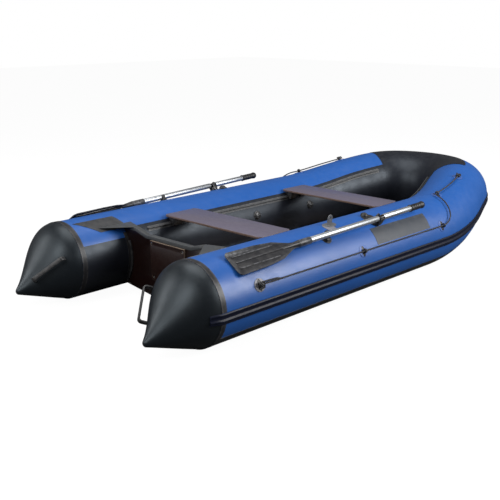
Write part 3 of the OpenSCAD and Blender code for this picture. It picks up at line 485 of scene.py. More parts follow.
# Coated fabric: fine calendered grain, slow tone changes and smudges
vinylTree, vinylIn, vinylOut = newGroup("vinylGrain", {"Scale": 900.0, "Tone": 0.2}, ("Height", "Tone", "Smudge"))
vinylPlace = objectPlace(vinylTree)
vinylSlow = spread(vinylTree, noise(vinylTree, vinylPlace, 2.6, 3.0), 0.3, 0.7)
vinylPatch = noise(vinylTree, vinylPlace, 17.0, 5.0, Roughness=0.62)
plug(vinylTree, vinylOut, {
    "Height": noise(vinylTree, vinylPlace, vinylIn["Scale"], 3.0, Roughness=0.6),
    "Tone": maths(vinylTree, "MULTIPLY", vinylSlow, vinylIn["Tone"]),
    "Smudge": spread(vinylTree, vinylPatch, 0.42, 0.72)})

# Pale edges found by pointiness, broken up by noise: worn edges on most parts, and a painted highlight along the oar
# blades' edges and ribs
wearHighlightTree, wearHighlightIn, wearHighlightOut = newGroup("edgeWearAndHighlight", {"Amount": 0.5, "Scale": 60.0}, ("Mask",))
wearHighlightMask = maths(wearHighlightTree, "MULTIPLY", spread(wearHighlightTree, surface(wearHighlightTree, "Pointiness"), 0.51, 0.58),
                 spread(wearHighlightTree, noise(wearHighlightTree, objectPlace(wearHighlightTree), wearHighlightIn["Scale"], 4.0), 0.35, 0.65))
plug(wearHighlightTree, wearHighlightOut, {"Mask": maths(wearHighlightTree, "MULTIPLY", wearHighlightMask, wearHighlightIn["Amount"], clamp=True)})

# Dust that lies on what faces up
dustTree, dustIn, dustOut = newGroup("dust", {"Amount": 0.1}, ("Mask",))
dustMask = maths(dustTree, "MULTIPLY", spread(dustTree, apart(dustTree, surface(dustTree, "Normal"))["Z"], 0.1, 1.0),
                 spread(dustTree, noise(dustTree, objectPlace(dustTree), 34.0, 6.0), 0.4, 0.75))
plug(dustTree, dustOut, {"Mask": maths(dustTree, "MULTIPLY", dustMask, dustIn["Amount"], clamp=True)})

# Plywood grain, long along the axis that the stretch chooses
grainTree, grainIn, grainOut = newGroup("plyGrain", {"Stretch": (1.0, 1.0, 1.0), "Scale": 30.0}, ("Grain", "Height"))
grainNoise = noise(grainTree, stretched(grainTree, grainIn["Stretch"]), grainIn["Scale"], 8.0,
                   Roughness=0.65, Distortion=0.6)
plug(grainTree, grainOut, {"Grain": spread(grainTree, grainNoise, 0.3, 0.7), "Height": grainNoise})


def newMaterial(name):
    made = bpy.data.materials.new(name)
    made.use_nodes = True
    return made, made.node_tree, made.node_tree.nodes["Principled BSDF"]


# Rubber, vinyl and plastic: what a look doesn't say is taken from here
mouldedLook = {"rough": (0.4, 0.55), "grain": 900, "tone": 0.3, "dust": 0.06, "dustColour": (0.45, 0.43, 0.4),
               "wearAndHighlight": 0.1, "rubbedAndHighlight": (0.3, 0.3, 0.31), "bump": 0.12, "depth": 0.0004, "specular": 0.5,
               "tint": (1, 1, 1)}


def moulded(name, own):
    look = {**mouldedLook, **own}
    made, tree, shader = newMaterial(name)
    vinyl = useGroup(tree, vinylTree, Scale=look["grain"], Tone=look["tone"])
    dust = useGroup(tree, dustTree, Amount=look["dust"])
    wearAndHighlight = useGroup(tree, wearHighlightTree, Amount=look["wearAndHighlight"])
    colour = colourMix(tree, vinyl["Tone"], rgba(look["colour"]), rgba(look["shade"]))
    # Pale edge colour: worn edges on most looks, a painted highlight where a look asks for much of it, as on the oar
    # blades
    colour = colourMix(tree, wearAndHighlight["Mask"], colour, rgba(look["rubbedAndHighlight"]))
    plug(tree, shader, {
        "Base Color": colourMix(tree, dust["Mask"], colour, rgba(look["dustColour"])),
        "Roughness": spread(tree, vinyl["Smudge"], 0, 1, *look["rough"]),
        "Normal": bumped(tree, vinyl["Height"], look["bump"], look["depth"]),
        "Specular IOR Level": look["specular"], "Specular Tint": rgba(look["tint"])})
    return made


blueVinyl = moulded("blueVinyl", {
    "colour": (0.014, 0.104, 0.4), "shade": (0.011, 0.09, 0.352), "rough": (0.38, 0.48), "specular": 0.6,
    "tone": 0.8, "rubbedAndHighlight": (0.25, 0.35, 0.7), "wearAndHighlight": 0.0, "dust": 0.02})
wallVinyl = moulded("wallVinyl", {
    "colour": (0.009, 0.010, 0.015), "shade": (0.014, 0.016, 0.024), "rough": (0.4, 0.52), "wearAndHighlight": 0.0,
    "dust": 0.03, "tint": (0.8, 0.9, 1)})
wrapVinyl = moulded("wrapVinyl", {
    "colour": (0.007, 0.007, 0.008), "shade": (0.012, 0.012, 0.013), "rough": (0.32, 0.46), "wearAndHighlight": 0.0,
    "dust": 0.03})
coneVinyl = moulded("coneVinyl", {
    "colour": (0.006, 0.008, 0.011), "shade": (0.009, 0.012, 0.015), "rough": (0.4, 0.48), "wearAndHighlight": 0.0,
    "dust": 0.02, "tint": (0.8, 0.92, 1)})
tapeVinyl = moulded("tapeVinyl", {
    "colour": (0.010, 0.010, 0.012), "shade": (0.016, 0.016, 0.018), "wearAndHighlight": 0.2, "dust": 0.04})
strakeRubber = moulded("strakeRubber", {
    "colour": (0.003, 0.005, 0.018), "shade": (0.004, 0.006, 0.017), "specular": 0.25, "rough": (0.4, 0.5),
    "wearAndHighlight": 0.05, "dust": 0.01, "rubbedAndHighlight": (0.1, 0.12, 0.18)})
greyVinyl = moulded("greyVinyl", {
    "colour": (0.046, 0.05, 0.053), "shade": (0.06, 0.065, 0.067), "dust": 0.05})
patchVinyl = moulded("patchVinyl", {
    "colour": (0.022, 0.023, 0.026), "shade": (0.032, 0.033, 0.036), "rough": (0.42, 0.56)})
patchGrey = moulded("patchGrey", {
    "colour": (0.038, 0.046, 0.06), "shade": (0.047, 0.055, 0.07), "rough": (0.42, 0.56), "wearAndHighlight": 0.05})
trackRubber = moulded("trackRubber", {
    "colour": (0.045, 0.047, 0.05), "shade": (0.06, 0.062, 0.066), "wearAndHighlight": 0.3})
blackRubber = moulded("blackRubber", {
    "colour": (0.007, 0.007, 0.008), "shade": (0.011, 0.011, 0.012), "wearAndHighlight": 0.25, "grain": 1400})
blackPlastic = moulded("blackPlastic", {
    "colour": (0.007, 0.007, 0.008), "shade": (0.012, 0.012, 0.013), "rough": (0.28, 0.42), "wearAndHighlight": 0.35,
    "grain": 2200, "bump": 0.08})
# The blade's strong pale edges are a painted highlight along its rim and ribs, with a little real scuffing
bladePlastic = moulded("bladePlastic", {
    "colour": (0.014, 0.014, 0.017), "shade": (0.021, 0.021, 0.024), "rough": (0.36, 0.48), "wearAndHighlight": 0.5,
    "grain": 2200, "bump": 0.08, "rubbedAndHighlight": (0.3, 0.31, 0.33)})
tabPlastic = moulded("tabPlastic", {
    "colour": (0.1, 0.105, 0.115), "shade": (0.13, 0.135, 0.145), "rough": (0.32, 0.45), "wearAndHighlight": 0.4,
    "grain": 2000})
padGrey = moulded("padGrey", {
    "colour": (0.2, 0.2, 0.23), "shade": (0.25, 0.25, 0.28), "rough": (0.36, 0.5)})
padBlue = moulded("padBlue", {
    "colour": (0.05, 0.13, 0.42), "shade": (0.04, 0.11, 0.38), "rough": (0.34, 0.46)})

# Brushed metal, with lines along the axis that its stretch draws out
metalLook = {"wearAndHighlight": 0.04, "worn": (0.95, 0.95, 0.96), "darker": 0.95, "bump": 0.03, "depth": 0.0002}


def metal(name, colour, rough, brush, stretch):
    made, tree, shader = newMaterial(name)
    lines = noise(tree, stretched(tree, stretch), brush, 4.0)
    wearAndHighlight = useGroup(tree, wearHighlightTree, Amount=metalLook["wearAndHighlight"])
    tone = colourMix(tree, spread(tree, lines, 0.3, 0.7), rgba(colour),
                     rgba([c * metalLook["darker"] for c in colour]))
    plug(tree, shader, {
        "Base Color": colourMix(tree, wearAndHighlight["Mask"], tone, rgba(metalLook["worn"])),
        "Roughness": spread(tree, lines, 0.25, 0.75, *rough),
        "Normal": bumped(tree, lines, metalLook["bump"], metalLook["depth"]), "Metallic": 1})
    return made


aluminium = metal("aluminium", (0.56, 0.585, 0.61), (0.42, 0.48), 90, (0.03, 1, 1))
steel = metal("steel", (0.72, 0.73, 0.75), (0.12, 0.22), 400, (1, 1, 1))

# Plywood with painted or varnished faces, and with its layers showing on the edges
plyLook = {"layerAxis": "X", "layer": 0.002, "stretch": (1, 1, 7), "scale": 9, "bump": 0.04, "depth": 0.0004,
           "coat": 0.05, "coatRough": 0.2, "flat": (0.6, 0.8)}
flatPly = {"layerAxis": "Z", "layer": 0.0016, "scale": 14, "bump": 0.15}


def plywood(name, own):
    look = {**plyLook, **own}
    made, tree, shader = newMaterial(name)
    grain = useGroup(tree, grainTree, Stretch=look["stretch"], Scale=look["scale"])
    wearAndHighlight = useGroup(tree, wearHighlightTree, Amount=look["wearAndHighlight"])
    layer = maths(tree, "PINGPONG", apart(tree, objectPlace(tree))[look["layerAxis"]], look["layer"])
    edge = colourMix(tree, spread(tree, layer, 0, look["layer"]), rgba(look["edge"]), rgba(look["edgeDark"]))
    face = colourMix(tree, grain["Grain"], rgba(look["face"]), rgba(look["faceDark"]))
    facing = maths(tree, "ABSOLUTE", apart(tree, surface(tree, "Normal"))[look["layerAxis"]])
    colour = colourMix(tree, spread(tree, facing, *look["flat"]), edge, face)
    plug(tree, shader, {
        "Base Color": colourMix(tree, wearAndHighlight["Mask"], colour, rgba(look["worn"])),
        "Roughness": spread(tree, grain["Grain"], 0, 1, *look["rough"]),
        "Normal": bumped(tree, grain["Height"], look["bump"], look["depth"]),
        "Coat Weight": look["coat"], "Coat Roughness": look["coatRough"]})
    return made


seatWood = plywood("seatWood", {
    **flatPly, "face": (0.13, 0.115, 0.158), "faceDark": (0.106, 0.093, 0.132), "edge": (0.16, 0.095, 0.065),
    "edgeDark": (0.085, 0.05, 0.035), "worn": (0.26, 0.23, 0.27), "wearAndHighlight": 0.25, "stretch": (8, 1, 1),
    "rough": (0.34, 0.46), "coat": 0.1})
floorWood = plywood("floorWood", {
    **flatPly, "face": (0.16, 0.115, 0.08), "faceDark": (0.1, 0.07, 0.05), "edge": (0.2, 0.14, 0.09),
    "edgeDark": (0.1, 0.07, 0.05), "worn": (0.26, 0.2, 0.15), "wearAndHighlight": 0.4, "stretch": (1, 9, 1),
    "rough": (0.3, 0.45), "coat": 0.15})
transomWood = plywood("transomWood", {
    "face": (0.008, 0.0018, 0.0014), "faceDark": (0.006, 0.0014, 0.0012), "edge": (0.1, 0.06, 0.04),
    "edgeDark": (0.05, 0.03, 0.02), "worn": (0.16, 0.1, 0.07), "wearAndHighlight": 0.04, "rough": (0.34, 0.38)})
padWood = plywood("padWood", {
    "face": (0.013, 0.003, 0.002), "faceDark": (0.010, 0.0024, 0.0018), "edge": (0.42, 0.32, 0.24),
    "edgeDark": (0.26, 0.19, 0.14), "worn": (0.42, 0.34, 0.27), "wearAndHighlight": 0.06, "rough": (0.36, 0.4)})

# Braided line: two sets of strands from the rope's own UV map
ropeLook = {"colour": (0.012, 0.012, 0.014), "light": (0.022, 0.022, 0.025), "across": 8.0, "along": 150.0,
            "bump": 0.6, "depth": 0.0006, "rough": 0.6, "sheen": 0.1}
ropeBraid, ropeTree, ropeShader = newMaterial("ropeBraid")
ropeUv = apart(ropeTree, node(ropeTree, "ShaderNodeUVMap", uv_map="ropeUV").outputs[0])
ropeWind = maths(ropeTree, "MULTIPLY", ropeUv["Y"], ropeLook["along"])
ropeTurn = maths(ropeTree, "MULTIPLY", ropeUv["X"], ropeLook["across"])
strands = [maths(ropeTree, "SINE", maths(ropeTree, "MULTIPLY", maths(ropeTree, way, ropeTurn, ropeWind), math.tau))
           for way in ("ADD", "SUBTRACT")]
ropeHigh = maths(ropeTree, "MAXIMUM", *strands)
plug(ropeTree, ropeShader, {
    "Base Color": colourMix(ropeTree, spread(ropeTree, ropeHigh, 0, 1), rgba(ropeLook["colour"]),
                            rgba(ropeLook["light"])),
    "Normal": bumped(ropeTree, ropeHigh, ropeLook["bump"], ropeLook["depth"]),
    "Roughness": ropeLook["rough"], "Sheen Weight": ropeLook["sheen"]})
print("stage: materials ready")

# Air tubes, one smooth skin from seam to seam
tubes = {"rows": 96, "step": 0.02, "level": 1e-6, "slack": 1e-4}
tubeSkin = straightStrip("airTubes", alongPath(0), alongPath(2 * sBow), 0, 360, tubeRadius, tubes["rows"],
                         tubes["step"])
tidyNormals(tubeSkin)
tubeEnds = hull["lead"] + tubes["slack"], 2 * halfPath - hull["lead"] - tubes["slack"]
pick(tubeSkin, "EDGE", lambda a, b: abs(a.x - b.x) < tubes["level"] and not tubeEnds[0] <= a.x <= tubeEnds[1])
bpy.ops.mesh.edge_face_add()
done()
laid(tubeSkin, blueVinyl, ["port_chamber", "starboard_chamber", "bow_chamber", "baffles"])
tubeTree = BVHTree.FromObject(tubeSkin, bpy.context.evaluated_depsgraph_get())

# Dark skins on the tubes
wallEdge = {"end": -142.2, "aft": -60, "high": -45, "crown": 15, "transomS": 0.3325, "seamS": 2.64, "lip": 0.0004,
            "wrapOut": 127.5, "wrapIn": 217.5, "tape": 0.03, "tapeGap": 0.3, "tapeOut": 0.0019, "under": 0.002}


def bothEnds(s0, s1):
    # The same stretch on the starboard and on the port tube
    return (s0, s1), (2 * sBow - s1, 2 * sBow - s0)


wallFrom = wallEdge["tape"] - wallEdge["under"]
walls = [skin("wall" + str(i), *span, wallEdge["end"], top)
         for top, s0, s1 in ((wallEdge["aft"], wallFrom, wallEdge["transomS"]),
                             (wallEdge["high"], wallEdge["transomS"], wallEdge["seamS"] + wallEdge["under"]))
         for i, span in enumerate(bothEnds(s0, s1))]
walls.append(skin("bowWall", wallEdge["seamS"], 2 * sBow - wallEdge["seamS"], wallEdge["end"], wallEdge["crown"],
                  outer=hull["skinOut"] + wallEdge["lip"]))
walls = joined("innerWalls", walls)
laid(walls, wallVinyl, ["port_inner_wall", "starboard_inner_wall", "bow_cover"])

wrap = skin("bottomWrap", wallFrom, 2 * sBow - wallFrom, wallEdge["wrapOut"], wallEdge["wrapIn"])
laid(wrap, wrapVinyl, ["bottom_wrap_port", "bottom_wrap_starboard", "bottom_wrap_bow"])

# Rubbing strake; its profile gives the share of the width and the share of the thickness there
strake = {"middle": 95, "half": 7.366, "tail": 0.058, "rows": 20, "thick": 0.011, "under": 0.0025,
          "profile": [(0, 0.2), (0.05, 0.5), (0.14, 0.7), (0.22, 0.6), (0.28, 0.36), (0.48, 0.36), (0.53, 0.55),
                      (0.6, 0.95), (0.66, 1.0), (0.72, 0.97), (0.78, 0.66), (0.84, 0.66), (0.9, 0.8), (0.96, 0.66),
                      (1.0, 0.2)]}


def profileAt(share, table):
    for (u0, v0), (u1, v1) in zip(table, table[1:]):
        if share <= u1:
            return v0 + (v1 - v0) * (share - u0) / (u1 - u0)
    return table[-1][1]


def strakeStrip():
    low, high = strake["middle"] - strake["half"], strake["middle"] + strake["half"]
    strip = straightStrip("strake", alongPath(-strake["tail"]), alongPath(2 * sBow + strake["tail"]), low, high,
                          tubeRadius, strake["rows"])
    facedOut(strip)
    for row in range(strake["rows"] + 1):
        angle = low + (high - low) * row / strake["rows"]
        rise = strake["thick"] * profileAt(row / strake["rows"], strake["profile"])
        side = Vector((0, -math.sin(math.radians(angle)), math.cos(math.radians(angle))))
        pickRow(strip, angle)
        bpy.ops.transform.translate(value=rise * side)
    done()
    applied(strip, "SOLIDIFY", thickness=strake["under"], offset=-1)
    return strip


coneLook = {"length": 0.258, "tipRadius": 0.02, "tipHeight": 0.098, "bulge": 0.046, "full": 0.0046,
            "tipAngle": 35, "lastAngle": 87, "steps": 20, "tipSteps": 6, "sides": 96}


def coneRadius(t):
    # A little fuller towards the tip than a plain ogive, so that the round tip meets it smoothly
    return (tubeRadius + (coneLook["tipRadius"] - tubeRadius) * t
            + coneLook["bulge"] * math.sin(math.pi * t) * (1 - t) + coneLook["full"] * t * t)


def coneHeight(t):
    return axisZ - tubeRadius + (coneLook["tipHeight"] - coneLook["tipRadius"]) * t + coneRadius(t)


strakePiece = strakeStrip()
tailStations = sorted({round(v.co.x, 5) for v in strakePiece.data.vertices if v.co.x < hull["lead"] - tubes["slack"]})
for station in tailStations:
    t = (hull["lead"] - station) / coneLook["length"]
    scale = coneRadius(t) / tubeRadius
    for x in (station, 2 * halfPath - station):
        pick(strakePiece, "VERT", lambda co: abs(co.x - x) < tubes["slack"])
        bpy.ops.transform.resize(value=(1, scale, scale), center_override=(x, 0, 0))
        bpy.ops.transform.translate(value=(0, 0, coneHeight(t) - axisZ))
done()
laid(strakePiece, strakeRubber, ["strake_port", "strake_starboard", "strake_bow"], 50)

# Stern cones
def conePiece(name):
    freshStart()
    bpy.ops.mesh.primitive_circle_add(vertices=coneLook["sides"], radius=tubeRadius, fill_type="NOTHING",
                                      location=(sternX, -axisY, axisZ), rotation=(0, math.pi / 2, 0))
    cone = started(name)
    settle(cone)
    pickAll(cone)
    was, wasX, wasZ = tubeRadius, 0, axisZ
    tip, lean = coneLook["tipRadius"], math.radians(coneLook["tipAngle"])
    reach = coneLook["length"] + tip * math.sin(lean)
    rings = []
    for i in range(1, coneLook["steps"] + 1):
        x = reach * i / coneLook["steps"]
        rings.append((x, coneRadius(x / coneLook["length"]), coneHeight(x / coneLook["length"])))
    tipZ = rings[-1][2]
    for k in range(1, coneLook["tipSteps"] + 1):
        a = lean + (math.radians(coneLook["lastAngle"]) - lean) * k / coneLook["tipSteps"]
        rings.append((coneLook["length"] + tip * math.sin(a), tip * math.cos(a), tipZ))
    for x, r, z in rings:
        bpy.ops.mesh.extrude_region_move(TRANSFORM_OT_translate={"value": (wasX - x, 0, z - wasZ)})
        bpy.ops.transform.resize(value=[r / was] * 3)
        was, wasX, wasZ = r, x, z
    bpy.ops.mesh.edge_face_add()
    pick(cone, "EDGE", lambda a, b: min(a.x, b.x) > sternX - tubes["slack"])
    bpy.ops.mesh.edge_face_add()
    done()
    tidyNormals(cone)
    smoothed(cone, 60)
    return cone


sternCone = conePiece("sternConeStbd")
sternConePort = mirrored(sternCone, "sternConePort")
finished(sternCone, coneVinyl, "hull", ["starboard_cone"])
finished(sternConePort, coneVinyl, "hull", ["port_cone"])

tapeLow = strake["middle"] + strake["half"] + wallEdge["tapeGap"]
tapeHigh = tapeLow + 360 - 2 * (strake["half"] + wallEdge["tapeGap"])
tapes = joined("coneSeamTapes", [skin("tape" + str(i), *span, tapeLow, tapeHigh, outer=wallEdge["tapeOut"],
                                      maxStep=0.01)
                                 for i, span in enumerate(bothEnds(0, wallEdge["tape"]))])
laid(tapes, tapeVinyl, ["cone_seam_tapes"])
print("stage: tubes, skins, strake and cones ready")

# Patches and the seat tracks
patch = {"s0": 1.19, "length": 0.515, "low": 38.6, "high": 65.5}
barePatch = skin("barePatch", patch["s0"], patch["s0"] + patch["length"], patch["low"], patch["high"])
laid(barePatch, patchGrey, ["patch_starboard"])

# Dark patches beside the transom, slanted; each side is the two distances and the angle
sternPatch = {"outer": (0.05, 0.31, -16), "inner": (0.17, 0.35, -44), "rows": 14, "out": 0.0019}


def slantedPatch(name):
    (x0, x1, a0), (x2, x3, a1) = [(alongPath(u), alongPath(v), a)
                                  for u, v, a in (sternPatch["outer"], sternPatch["inner"])]
    sheet = straightStrip(name, x0, x1, a1, a0, tubeRadius + sternPatch["out"], sternPatch["rows"])
    facedOut(sheet)
    for row in range(sternPatch["rows"] + 1):
        share = 1 - row / sternPatch["rows"]
        pickRow(sheet, a1 + (a0 - a1) * row / sternPatch["rows"])
        bpy.ops.transform.resize(value=(1 + share * ((x3 - x2) / (x1 - x0) - 1), 1, 1), center_override=(x0, 0, 0))
        bpy.ops.transform.translate(value=(share * (x2 - x0), 0, 0))
    done()
    applied(sheet, "SOLIDIFY", thickness=sternPatch["out"] - hull["skinIn"], offset=-1)
    bent(sheet)
    smoothed(sheet)
    return sheet


darkPatch = slantedPatch("sternPatchStbd")
for piece in (darkPatch, mirrored(darkPatch, "sternPatchPort")):
    finished(piece, patchVinyl, "hull", ["stern_patches"])

# Each track is a band, a bead for the seats' slides to run on, and the stem between them
track = {"angle": -55, "half": 4, "from": 0.47, "to": 2.57, "bandOut": 0.003, "bandRows": 4, "bead": 0.004,
         "beadAt": 0.0096, "beadSides": 12, "stem": 0.0022, "stemDeep": 0.0008, "stemSides": 4}


def trackPiece(name, s0, s1):
    band = skin(name + "Band", s0, s1, track["angle"] - track["half"], track["angle"] + track["half"],
                outer=track["bandOut"], rows=track["bandRows"])
    beadFrom = tubeRadius + track["beadAt"]
    bars, a = [], math.radians(track["angle"])
    for kind, radius, sides, r in (("Bead", track["bead"], track["beadSides"], beadFrom),
                                   ("Stem", track["stem"], track["stemSides"],
                                    beadFrom - track["bead"] - track["stemDeep"])):
        bar = straightStrip(name + kind, alongPath(s0), alongPath(s1), 0, 360, radius, sides)
        pickAll(bar)
        bpy.ops.transform.translate(value=(0, -r * math.sin(a), r * math.cos(a)))
        bars.append(bar)
    done()
    return [band, *bars]


tracks = joined("seatTracks", sum((trackPiece("track" + str(i), *span)
                                   for i, span in enumerate(bothEnds(track["from"], track["to"]))), []))
laid(tracks, trackRubber, ["seat_tracks"])

# Hard parts from the CAD's own shapes: node, piece, material, slot, body and rounding; a star is either side
hardParts = [
    ("bottom_sheet", "bottomSheet", wrapVinyl, "dark_pvc", "hull", 0),
    ("keel_chamber", "keelChamber", wrapVinyl, "dark_pvc", "hull", 0),
    ("floorboards", "floorBoards", floorWood, "floor_ply", "hull", 0.0012),
    ("floor_stringers", "floorStringers", aluminium, "aluminium", "hull", 0.0005),
    ("floor_joiners", "floorJoiners", aluminium, "aluminium", "hull", 0.0005),
    ("transom_board", "transomBoard", transomWood, "transom_ply", "hull", 0.001),
    ("transom_cap", "transomCap", greyVinyl, "grey_pvc", "hull", 0.0012),
    ("transom_holders", "transomHolders", blackRubber, "black_rubber", "hull", 0.001),
    ("transom_gussets", "transomGussets", greyVinyl, "grey_pvc", "hull", 0.0003),
    ("motor_pads", "motorPads", padWood, "transom_ply", "hull", 0.0014),
    ("pad_screws", "padScrews", steel, "steel", "hull", 0.0003),
    ("drain_valve", "drainValve", blackPlastic, "black_plastic", "hull", 0.0006),
    ("drain_plug", "drainPlug", blackPlastic, "black_plastic", "drain_plug", 0.0006),
    ("seat_rear", "seatRear", seatWood, "seat_ply", "seat_rear", 0.0022),
    ("seat_front", "seatFront", seatWood, "seat_ply", "seat_front", 0.0022),
    ("seat_rear_slides", "seatRearSlides", blackPlastic, "black_plastic", "seat_rear", 0.001),
    ("seat_front_slides", "seatFrontSlides", blackPlastic, "black_plastic", "seat_front", 0.001),
    ("oarlock_bases", "oarlockBases", blackRubber, "black_rubber", "hull", 0.001),
    ("fork_*", "fork*", blackPlastic, "black_plastic", "fork_*", 0.001),
    ("oar_joint_*", "oarJoint*", blackPlastic, "black_plastic", "oar_*", 0.0006),
    ("oar_shafts_*", "oarShafts*", aluminium, "aluminium", "oar_*", 0.0003),
    ("oar_grip_*", "oarGrip*", blackRubber, "black_rubber", "oar_*", 0.0008),
    ("oar_blade_*", "oarBlade*", bladePlastic, "black_plastic", "oar_*", 0.0012),
    ("oar_clips", "oarClips", blackRubber, "black_rubber", "hull", 0.0008),
    ("valve_bodies", "valveBodies", blackPlastic, "black_plastic", "hull", 0.0008),
    ("valve_cap_*", "valveCap*", blackPlastic, "black_plastic", "valve_cap_*", 0.0008),
    ("valve_cap_bow", "valveCapBow", blackPlastic, "black_plastic", "valve_cap_bow", 0.0008),
    ("tab_mount", "tabMount", tabPlastic, "tab_grey", "hull", 0.0008),
    ("stern_handles", "sternHandles", blackRubber, "black_rubber", "hull", 0.0025),
    ("bow_handle", "bowHandle", blackRubber, "black_rubber", "hull", 0.001),
    ("tow_ring_patch", "towRingPatch", blackRubber, "black_rubber", "hull", 0.001),
    ("tow_ring", "towRing", steel, "steel", "tow_ring", 0),
]
for nodeName, name, material, slotName, body, bevel in hardParts:
    for side, short in (("port", "Port"), ("starboard", "Stbd")) if "*" in nodeName else (("", ""),):
        cadNode = nodeName.replace("*", side)
        finished(dressed(cadNode, name.replace("*", short), bevel), material, body.replace("*", side),
                 [cadNode])
print("stage: hard parts dressed")

# Grab line, held by its rings all the way; a place is s in mm, the angle and the rise in mm
ropeLine = {"radius": 0.004, "off": 0.013,
            "route": [(236, 68, 0), (257, 68, 0), (280, 68, 0), (660, 68, 0), (1034, 68, 0), (1054, 68, 0),
                      (1074, 68, 0), (1450, 68, 0), (1807, 68, 0), (1827, 68, 0), (1846, 68, 0), (1876, 66, 1),
                      (1904, 62, 2), (1926, 56, 3), (1941, 49, 3), (1952, 42, 3), (1960, 35, 3), (1967, 27, 2),
                      (1974, 20, 1), (1982, 14, 0), (1991, 12, 0), (2009, 12, 0), (2027, 12, 0), (2100, 12, 1),
                      (2180, 13, 2), (2270, 14, 1), (2351, 14, 0), (2369, 14, 0), (2390, 14, 0)],
            "tail": [(244, 66.3, 2), (262, 65.2, 0), (290, 65.4, 0), (330, 65.6, 0), (368, 66.1, 0), (384, 67.2, 0)],
            "knot": 0.0056, "knotSteps": 28, "knotUp": 0.006}


def cordPiece(name, places):
    curve = bpy.data.curves.new(name, "CURVE")
    curve.dimensions = "3D"
    spline = curve.splines.new("NURBS")
    spline.points.add(len(places) - 1)
    for point, place in zip(spline.points, places):
        point.co = (*place, 1)
    spline.order_u, spline.use_endpoint_u, spline.resolution_u = 3, True, 6
    curve.bevel_depth, curve.bevel_resolution, curve.use_fill_caps = ropeLine["radius"], 3, True
    rope = bpy.data.objects.new(name, curve)
    bpy.context.collection.objects.link(rope)
    only(rope)
    bpy.ops.object.convert(target="MESH")
    rope = started(name)
    if not rope.data.uv_layers:
        rope.data.uv_layers.new(name="ropeUV")
    rope.data.uv_layers[0].name = "ropeUV"
    return rope


def onLine(route):
    return [tubePoint(s / 1000, phi, tubeRadius + ropeLine["off"] + up / 1000) for s, phi, up in route]


def knotPlaces(s, phi):
    # An overhand knot as a trefoil, flat against the pad
    frameThere = tubeFrame(s, phi, ropeLine["off"] + ropeLine["knotUp"])
    places = []
    for i in range(ropeLine["knotSteps"] + 1):
        t = math.tau * i / ropeLine["knotSteps"]
        places.append(frameThere @ (ropeLine["knot"] * Vector((
            math.sin(t) + 2 * math.sin(2 * t), math.cos(t) - 2 * math.cos(2 * t), -math.sin(3 * t)))))
    return places


firstKnot, lastKnot = (route[1] for route in (ropeLine["route"], ropeLine["route"][::-1]))
rope = joined("grabLineStbd", [cordPiece("mainLine", onLine(ropeLine["route"])),
                               cordPiece("lineTail", onLine(ropeLine["tail"]))]
              + [cordPiece("knot" + str(i), knotPlaces(place[0] / 1000, place[1]))
                 for i, place in enumerate((firstKnot, lastKnot))])
smoothed(rope, 60)
finished(rope, ropeBraid, "hull", ["grab_line_starboard"])
finished(mirrored(rope, "grabLinePort"), ropeBraid, "hull", ["grab_line_port"])

# Welded pads with black fairleads for the line
roundPad = {"sides": 48, "lift": 0.01, "middle": 1.5, "corner": 50}
weld = {"radius": 0.034, "rings": 5, "out": 0.0026, "in": 0.0004, "lip": 0.0008}
fairlead = {"places": [(0.257, 68), (1.054, 68), (1.827, 68), (2.009, 12), (2.369, 14)],
            "long": 0.033, "wide": 0.019, "dome": 0.0075, "sink": 0.003, "sides": 36, "rings": 18,
            "boss": 0.012, "slim": 0.5, "bossRise": 0.004, "bossTop": (0.8, 0.8, 0.4),
            "eye": 0.0096, "eyeWire": 0.0038, "eyeLong": 1.7, "eyeSides": 32, "wireSides": 12}


def padOn(name, look, radius, stretch, there):
    # A pad that follows the tube, pressed on to it from just above, with a rounded rim
    freshStart()
    bpy.ops.mesh.primitive_circle_add(vertices=roundPad["sides"], radius=radius, fill_type="NGON")
    pad = started(name)
    pickAll(pad)
    for ring in range(look["rings"]):
        bpy.ops.mesh.inset(thickness=radius / (look["rings"] + roundPad["middle"]))
    pickAll(pad)
    bpy.ops.transform.resize(value=stretch, center_override=(0, 0, 0))
    done()
    placed(pad, there)
    applied(pad, "SHRINKWRAP", target=tubeSkin, wrap_method="NEAREST_SURFACEPOINT", wrap_mode="ABOVE_SURFACE",
            offset=look["out"])
    applied(pad, "SOLIDIFY", thickness=look["out"] - look["in"], offset=-1)
    tidyNormals(pad)
    applied(pad, "BEVEL", width=look["lip"], segments=2, limit_method="ANGLE",
            angle_limit=math.radians(roundPad["corner"]))
    smoothed(pad)
    return pad


def fairleadPiece():
    # A lens-shaped foot, long round the tube, with a boss and the eye that the line passes through
    freshStart()
    bpy.ops.mesh.primitive_uv_sphere_add(segments=fairlead["sides"], ring_count=fairlead["rings"], radius=1)
    foot = started("fairleadFoot")
    foot.scale = (fairlead["wide"], fairlead["long"], fairlead["dome"])
    foot.location = (0, 0, -fairlead["sink"])
    settle(foot)
    pick(foot, "FACE", lambda c, n: math.hypot(c.x / fairlead["slim"], c.y) < fairlead["boss"] and c.z > 0)
    bpy.ops.mesh.extrude_region_move(TRANSFORM_OT_translate={"value": (0, 0, fairlead["bossRise"])})
    bpy.ops.transform.resize(value=fairlead["bossTop"], center_override=(0, 0, fairlead["bossRise"]))
    done()
    freshStart()
    bpy.ops.mesh.primitive_torus_add(major_radius=fairlead["eye"], minor_radius=fairlead["eyeWire"],
                                     major_segments=fairlead["eyeSides"], minor_segments=fairlead["wireSides"],
                                     location=(0, 0, ropeLine["off"]), rotation=(0, math.pi / 2, 0))
    eye = started("fairleadEye")
    settle(eye)
    pickAll(eye)
    bpy.ops.transform.resize(value=(fairlead["eyeLong"], 1, 1), center_override=(0, 0, ropeLine["off"]))
    done()
    made = joined("fairlead", [foot, eye])
    smoothed(made, 50)
    return made


